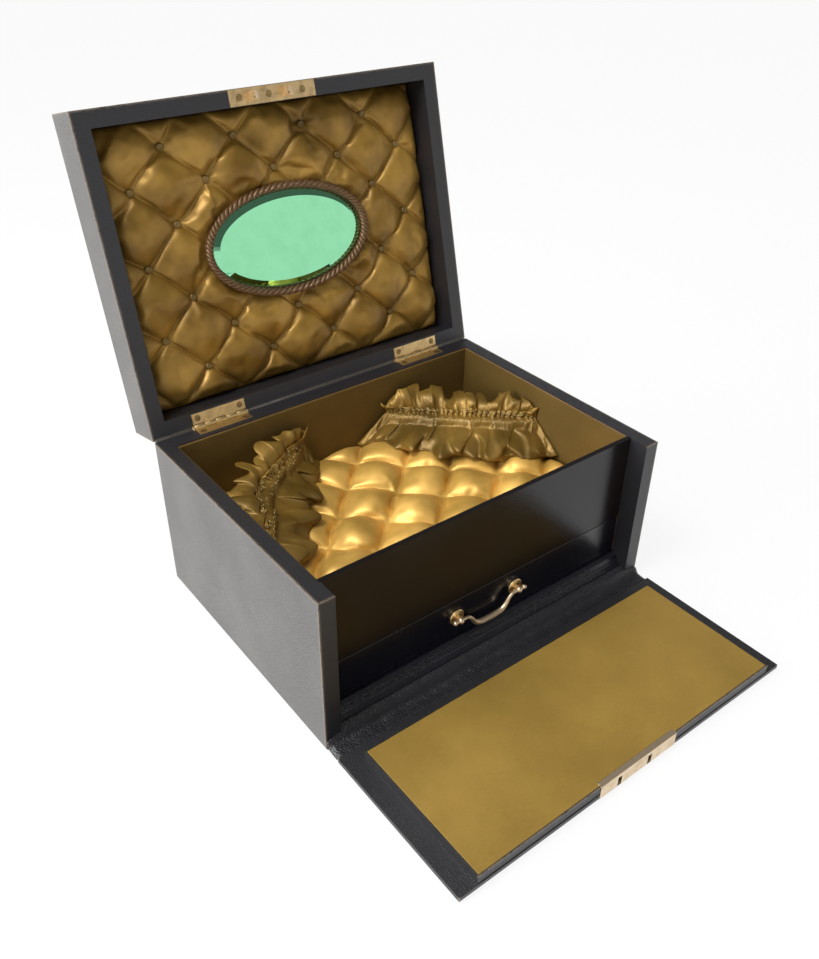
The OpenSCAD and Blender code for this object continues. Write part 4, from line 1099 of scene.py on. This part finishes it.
# %% Rope frame
rope = Pattern("rope", {"Half width": 60.2 * mm, "Half height": 34.1 * mm, "Lay radius": 1.36 * mm,
                        "Thread radius": 1.36 * mm, "Turns": 27.0, "Steps": 640})
thread_rings = []
for thread in range(3):
    line = rope.node("GeometryNodeCurvePrimitiveCircle", {"mode": "RADIUS"},
                     {"Resolution": rope.input("Steps"), "Radius": 1.0})
    part = rope.node("GeometryNodeSplineParameter", out="Factor")
    round_angle = part * math.tau
    lay_angle = part * math.tau * rope.input("Turns") + thread * math.tau / 3
    cosine = rope.node("ShaderNodeMath", {"operation": "COSINE"}, {0: round_angle})
    lay_cosine = rope.node("ShaderNodeMath", {"operation": "COSINE"}, {0: lay_angle})
    lay_out = lay_cosine * rope.input("Lay radius")
    lay_up = lay_angle.wave() * rope.input("Lay radius")
    place = rope.node("ShaderNodeCombineXYZ", {}, {
        "X": cosine * (rope.input("Half width") + lay_out),
        "Y": round_angle.wave() * (rope.input("Half height") + lay_out),
        "Z": lay_up,
    })
    laid = rope.node("GeometryNodeSetPosition", {}, {"Geometry": line, "Position": place})
    section = rope.node("GeometryNodeCurvePrimitiveCircle", {"mode": "RADIUS"},
                        {"Resolution": 8, "Radius": rope.input("Thread radius")})
    thread_rings.append(rope.node("GeometryNodeCurveToMesh", {}, {"Curve": laid, "Profile Curve": section}))
joined = rope.tree.nodes.new("GeometryNodeJoinGeometry")
for ring in thread_rings:
    rope.tree.links.new(ring.socket, joined.inputs[0])
rope_threads = Wire(rope, joined.outputs[0])
rope_piece = rope.made("mirror_rope_threads", rope_threads, bronze_thread("bronze thread", lid_opened))
rope_centre = (rope_low + rope_high) / 2
rope_piece.data.transform(lid_opened @ Matrix.Translation(rope_centre))
shape = bmesh.new()
shape.from_mesh(rope_piece.data)
bmesh.ops.recalc_face_normals(shape, faces=shape.faces[:])
shape.to_mesh(rope_piece.data)
shape.free()
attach(rope_piece, "lid")
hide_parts("mirror_rope")

# %% [markdown]
# Each button is a small domed mould covered in the same satin, with a ring pressed into it. It sits in
# the dip where the creases meet, so its point is found on the quilt itself.

# %% Quilt buttons
button_points = []
margin = 8 * mm
for row in range(-3, 4):
    for step in range(-3, 4):
        x = mirror_centre.x + (step + (0.5 if row % 2 else 0)) * QUILT_PITCH[0]
        y = mirror_centre.y + row * QUILT_PITCH[1]
        if abs(x) < quilt_high.x - margin and under_mirror(x, -y, 0) > 1:
            button_points.append((x, y))
quilt_surface = surface_of(quilt)
seats = bpy.data.meshes.new("button seats")
seat_points = []
for x, y in button_points:
    above = lid_opened @ Vector((x, y, quilt_low.z - 20 * mm))
    inward = lid_opened.to_3x3() @ Vector((0, 0, 1))
    hit, *_ = quilt_surface.ray_cast(above, inward)
    seat_points.append(hit - inward * 0.5 * mm)
seats.from_pydata(seat_points, [], [])
buttons = Pattern("buttons", {"Size": 1.0})
button_outline = [
    (0, -0.6 * mm), (2.2 * mm, -0.6 * mm), (2.6 * mm, 0), (2.55 * mm, 0.7 * mm), (2.1 * mm, 1.35 * mm),
    (1.5 * mm, 1.5 * mm), (1.1 * mm, 1.15 * mm), (0.5 * mm, 1.25 * mm), (0, 1.3 * mm),
]
button_mesh = turned_profile("button", button_outline, 18)
button_mesh.transform(lid_opened.to_3x3().to_4x4() @ Matrix.Rotation(math.pi, 4, "X"))
button_part = grown(button_mesh, "button mould")
mould = buttons.node("GeometryNodeObjectInfo", {"transform_space": "ORIGINAL"},
                     {"Object": button_part}, out="Geometry")
set_out = buttons.node("GeometryNodeInstanceOnPoints", {}, {
    "Points": buttons.input("Start"), "Instance": mould, "Scale": buttons.input("Size")})
button_satin = padded_satin("button satin", lid_opened, (0.12, 0.075, 0.015), (0.26, 0.17, 0.05))
button_piece = buttons.made("quilt_button_covers", set_out, button_satin, seats)
bpy.data.objects.remove(button_part)
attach(button_piece, "lid")
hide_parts("quilt_buttons")

# %% [markdown]
# The elastic bands are held in by two rows of pale thread. A stitch is a short rounded bar; two are set
# to each gather of the settled band, turned along the row.

# %% Band stitches
stitch_outline = [
    (0, -1.0 * mm), (0.2 * mm, -0.85 * mm), (0.24 * mm, 0), (0.2 * mm, 0.85 * mm), (0, 1.0 * mm),
]
stitch_mesh = turned_profile("stitch", stitch_outline, 6)
stitch_part = grown(stitch_mesh, "stitch bar")
thread_finish = Finish("band thread")
thread_finish.surface(Base_Color=(0.45, 0.36, 0.15, 1), Roughness=0.6)
for side, rows in sewn.items():
    places, ways = [], []
    for row in (0, 4):
        line = rows[row]
        for k in range(6, len(line) - 6, 4):
            way = line[k + 2] - line[k - 2]
            rise = rows[min(row + 1, 4)][k] - rows[max(row - 1, 0)][k]
            out = np.cross(way, rise)
            out /= np.linalg.norm(out) + 1e-12
            towards = np.array([-line[k][0], -line[k][1], 0.0])
            out = out if (out * towards).sum() > 0 else -out
            places.append(line[k] + out * 0.5 * mm)
            ways.append(way / np.linalg.norm(way))
    mesh = bpy.data.meshes.new(f"{side} stitches")
    mesh.from_pydata([tuple(p) for p in places], [], [])
    mesh.attributes.new("way", "FLOAT_VECTOR", "POINT").data.foreach_set("vector", np.array(ways).ravel())
    stitches = Pattern(f"{side} stitches", {"Size": 1.0})
    bar = stitches.node("GeometryNodeObjectInfo", {"transform_space": "ORIGINAL"},
                        {"Object": stitch_part}, out="Geometry")
    way = stitches.node("GeometryNodeInputNamedAttribute", {"data_type": "FLOAT_VECTOR"}, {"Name": "way"})
    turn = stitches.node("FunctionNodeAlignRotationToVector", {"axis": "Z"}, {"Vector": way})
    laid = stitches.node("GeometryNodeInstanceOnPoints", {}, {
        "Points": stitches.input("Start"), "Instance": bar,
        "Rotation": turn, "Scale": stitches.input("Size")})
    piece = stitches.made(f"{side}_band_stitches", laid, thread_finish.material, mesh)
    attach(piece, "case")
bpy.data.objects.remove(stitch_part)

# %% [markdown]
# The fall front hinges on its own leather: a strip glued to the sill and to the foot of the flap. It is
# one swept sheet with a soft pebbled surface, and it must bend when the flap turns, so it is blended
# between the two.

# %% Leather hinge
hinge_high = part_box("leather_hinge")[1]
cheek_front = hinge_high.y - 4.2 * mm
narrow = shut_box("sill_rail")[1].x - 0.1 * mm
wide = hinge_high.x
strip_path = [  # (distance in front of the cheeks, height), back to front
    (-4.2, 12.3), (-3.2, 11.95), (-2.0, 11.45), (-0.9, 10.9), (-0.15, 10.3), (0.35, 9.75), (1.2, 8.7),
    (2.2, 7.5), (3.2, 6.65), (4.4, 6.1), (5.8, 5.8), (7.4, 5.62), (9.2, 5.52), (11.7, 5.5)]
columns = 150
rng = np.random.default_rng(8)
strip_points = []
for row, (out, height) in enumerate(strip_path):
    half = narrow if out < 0.3 else wide - 0.6 * mm * max(0, 1.4 - out)
    xs = np.linspace(-half, half, columns + 1)
    ripple = 0.16 * smooth_field(xs, np.full_like(xs, out * mm), 26 * mm, 40)
    ripple = ripple + 0.07 * rng.standard_normal(columns + 1)
    near_end = np.clip((np.abs(xs) - (half - 2.5 * mm)) / (2.5 * mm), 0, 1)
    edge_drop = near_end**2 * (1.8 if out >= 0.3 else 0.2)
    flat_end = 0.25 if row in (0, len(strip_path) - 1) else 1
    for x, dz in zip(xs, ripple * flat_end - edge_drop * min(1, out / 3 if out > 0 else 0)):
        strip_points.append((x, cheek_front - out * mm, (height + dz - 0.5) * mm))
width = columns + 1
quads = [(r * width + c, (r + 1) * width + c, (r + 1) * width + c + 1, r * width + c + 1)
         for r in range(len(strip_path) - 1) for c in range(columns)]
strip_mesh = bpy.data.meshes.new("hinge strip")
strip_mesh.from_pydata(strip_points, [], quads)
strip = grown(strip_mesh, "fall_front_leather_hinge")
if strip.data.polygons[0].normal.z < 0:
    strip.data.flip_normals()
thickness = subdivided(strip).modifiers.new("thickness", "SOLIDIFY")
thickness.thickness = 0.9 * mm
thickness.offset = -1
finished(baked(strip), pebbled_leather("hinge leather"))
fold_line = joints["fall_front_hinge"]["pos_m"]
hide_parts("leather_hinge")
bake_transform(strip, "case", "fall_front",
         start=(0, cheek_front - 2.0 * mm, 6 * mm), end=(0, cheek_front - 9.5 * mm, 6 * mm))
print("hinge strip", len(strip.data.polygons), "faces; fold at y", round(fold_line[1] / mm, 1))


# %% [markdown]
# Light would show through the gap between the lid and the case. A thin cord of black leather along the
# line of the hinges closes it. It is a guess that stands for whatever closes the real seam. It lies on
# the axis, so that it stays put when the lid turns.

# %% Seam cord
seam_at = Vector(joints["lid_hinge"]["pos_m"])
hinge_ends = sorted(corner.x for side in ("left", "right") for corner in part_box(f"{side}_hinge_case_leaf"))
SEAM_RADIUS = 0.27 * mm
SEAM_SIDES = 8
SEAM_END_GAP = 0.15 * mm
seam_reach = 129.6 * mm
seam_stops = [-seam_reach, *hinge_ends, seam_reach]
seam_points, seam_faces = [], []
for start, end in zip(seam_stops[::2], seam_stops[1::2]):
    first = len(seam_points)
    for x in (start + SEAM_END_GAP, end - SEAM_END_GAP):
        for k in range(SEAM_SIDES):
            turn = k * math.tau / SEAM_SIDES
            across = SEAM_RADIUS * math.cos(turn)
            up = SEAM_RADIUS * math.sin(turn)
            seam_points.append((x, seam_at.y + across, seam_at.z + up))
    left_ring = [first + k for k in range(SEAM_SIDES)]
    right_ring = [first + SEAM_SIDES + k for k in range(SEAM_SIDES)]
    for k in range(SEAM_SIDES):
        after = (k + 1) % SEAM_SIDES
        seam_faces.append((left_ring[k], left_ring[after], right_ring[after], right_ring[k]))
    seam_faces += [tuple(left_ring), tuple(reversed(right_ring))]
seam_mesh = bpy.data.meshes.new("seam cord")
seam_mesh.from_pydata(seam_points, [], seam_faces)
seam = grown(seam_mesh, "lid_seam_cord")
cord = bmesh.new()
cord.from_mesh(seam_mesh)
bmesh.ops.recalc_face_normals(cord, faces=cord.faces[:])
cord.to_mesh(seam_mesh)
cord.free()
finished(seam, fine_leather("seam leather", lid_opened))
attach(seam, "lid")
print("seam cord", len(seam_faces), "faces")


# %% [markdown]
# A plain studio: a pale floor that keeps the shadow, a white backdrop around it, a dim ceiling with a
# large window at the upper left, and two soft lamps on that side. Black leather lives from what it
# reflects, so the ceiling is kept dim. The backdrop and the floor look white to the camera.

# %% Floor
floor_mesh = bpy.data.meshes.new("floor")
reach = 6.0
floor_mesh.from_pydata(
    [(-reach, -reach, 0), (reach, -reach, 0), (reach, reach, 0), (-reach, reach, 0)], [], [(0, 1, 2, 3)]
)
floor = bpy.data.objects.new("floor", floor_mesh)
scene.collection.objects.link(floor)
floor.location.z = -0.1 * mm

paper = Finish("floor paper")
rays = paper.tree.nodes.new("ShaderNodeLightPath")
plain = paper.node("ShaderNodeBsdfDiffuse", {}, {"Color": (0.86, 0.86, 0.86)})
glow = paper.node("ShaderNodeEmission", {}, {"Color": (1, 1, 1), "Strength": 1.0})
seen = Wire(paper, rays.outputs["Is Camera Ray"]) * 0.88
mirrored = Wire(paper, rays.outputs["Is Glossy Ray"]).high(Wire(paper, rays.outputs["Is Transmission Ray"]))
blend = paper.node("ShaderNodeMixShader", {}, {0: seen.high(mirrored), 1: plain, 2: glow})
paper.tree.links.new(blend.socket, paper.tree.nodes["Material Output"].inputs["Surface"])
floor_mesh.materials.append(paper.material)

# %% [markdown]
# The sky's strength depends on its direction: white near the horizon, where a backdrop would stand, dim
# above, and bright towards the window. A camera ray always sees white.

# %% Sky
world = bpy.data.worlds.new("studio")
scene.world = world
world.use_nodes = True
sky = world.node_tree
sky.nodes.clear()
studio = Tree(sky)
towards_window = Vector((-0.72, 0.10, 0.68)).normalized()
SKY_DIM, SKY_BRIGHT = 0.14, 1.5
way = studio.node("ShaderNodeTexCoord", out="Generated")
height = studio.node("ShaderNodeSeparateXYZ", {}, {"Vector": way}, out="Z")
facing = studio.node("ShaderNodeVectorMath", {"operation": "DOT_PRODUCT"},
                     {0: way, 1: towards_window}, out="Value")
backdrop = 1 - height.step(0.12, 0.34)
window = (facing.step(0.35, 0.95) * (SKY_BRIGHT - SKY_DIM) + SKY_DIM).high(backdrop)
camera_ray = studio.node("ShaderNodeLightPath", out="Is Camera Ray")
sky_light = studio.node("ShaderNodeBackground", {},
                        {"Color": (1, 1, 1), "Strength": window.high(camera_ray)})
sky_out = sky.nodes.new("ShaderNodeOutputWorld")
sky.links.new(sky_light.socket, sky_out.inputs["Surface"])


# %% [markdown]
# Two soft lamps on the left stand in for the daylight: a small one high up that gives the satin its
# highlights, and a larger one at the side that lights the leather.

# %% Lamps


def lamp(name, at, towards, width, power):
    """A soft square lamp."""
    light = bpy.data.lights.new(name, "AREA")
    light.size = width
    light.energy = power
    holder = bpy.data.objects.new(name, light)
    scene.collection.objects.link(holder)
    at, towards = Vector(at), Vector(towards)
    turn = (towards - at).to_track_quat("-Z", "Y").to_matrix().to_4x4()
    holder.matrix_world = Matrix.Translation(at) @ turn
    return holder


lamp("key lamp", (-0.75, -0.05, 1.45), (0, 0, 0.1), 0.4, 15.0)
lamp("side lamp", (-1.45, 0.25, 0.5), (0, 0, 0.1), 0.7, 16.0)

scene.view_settings.view_transform = "Standard"
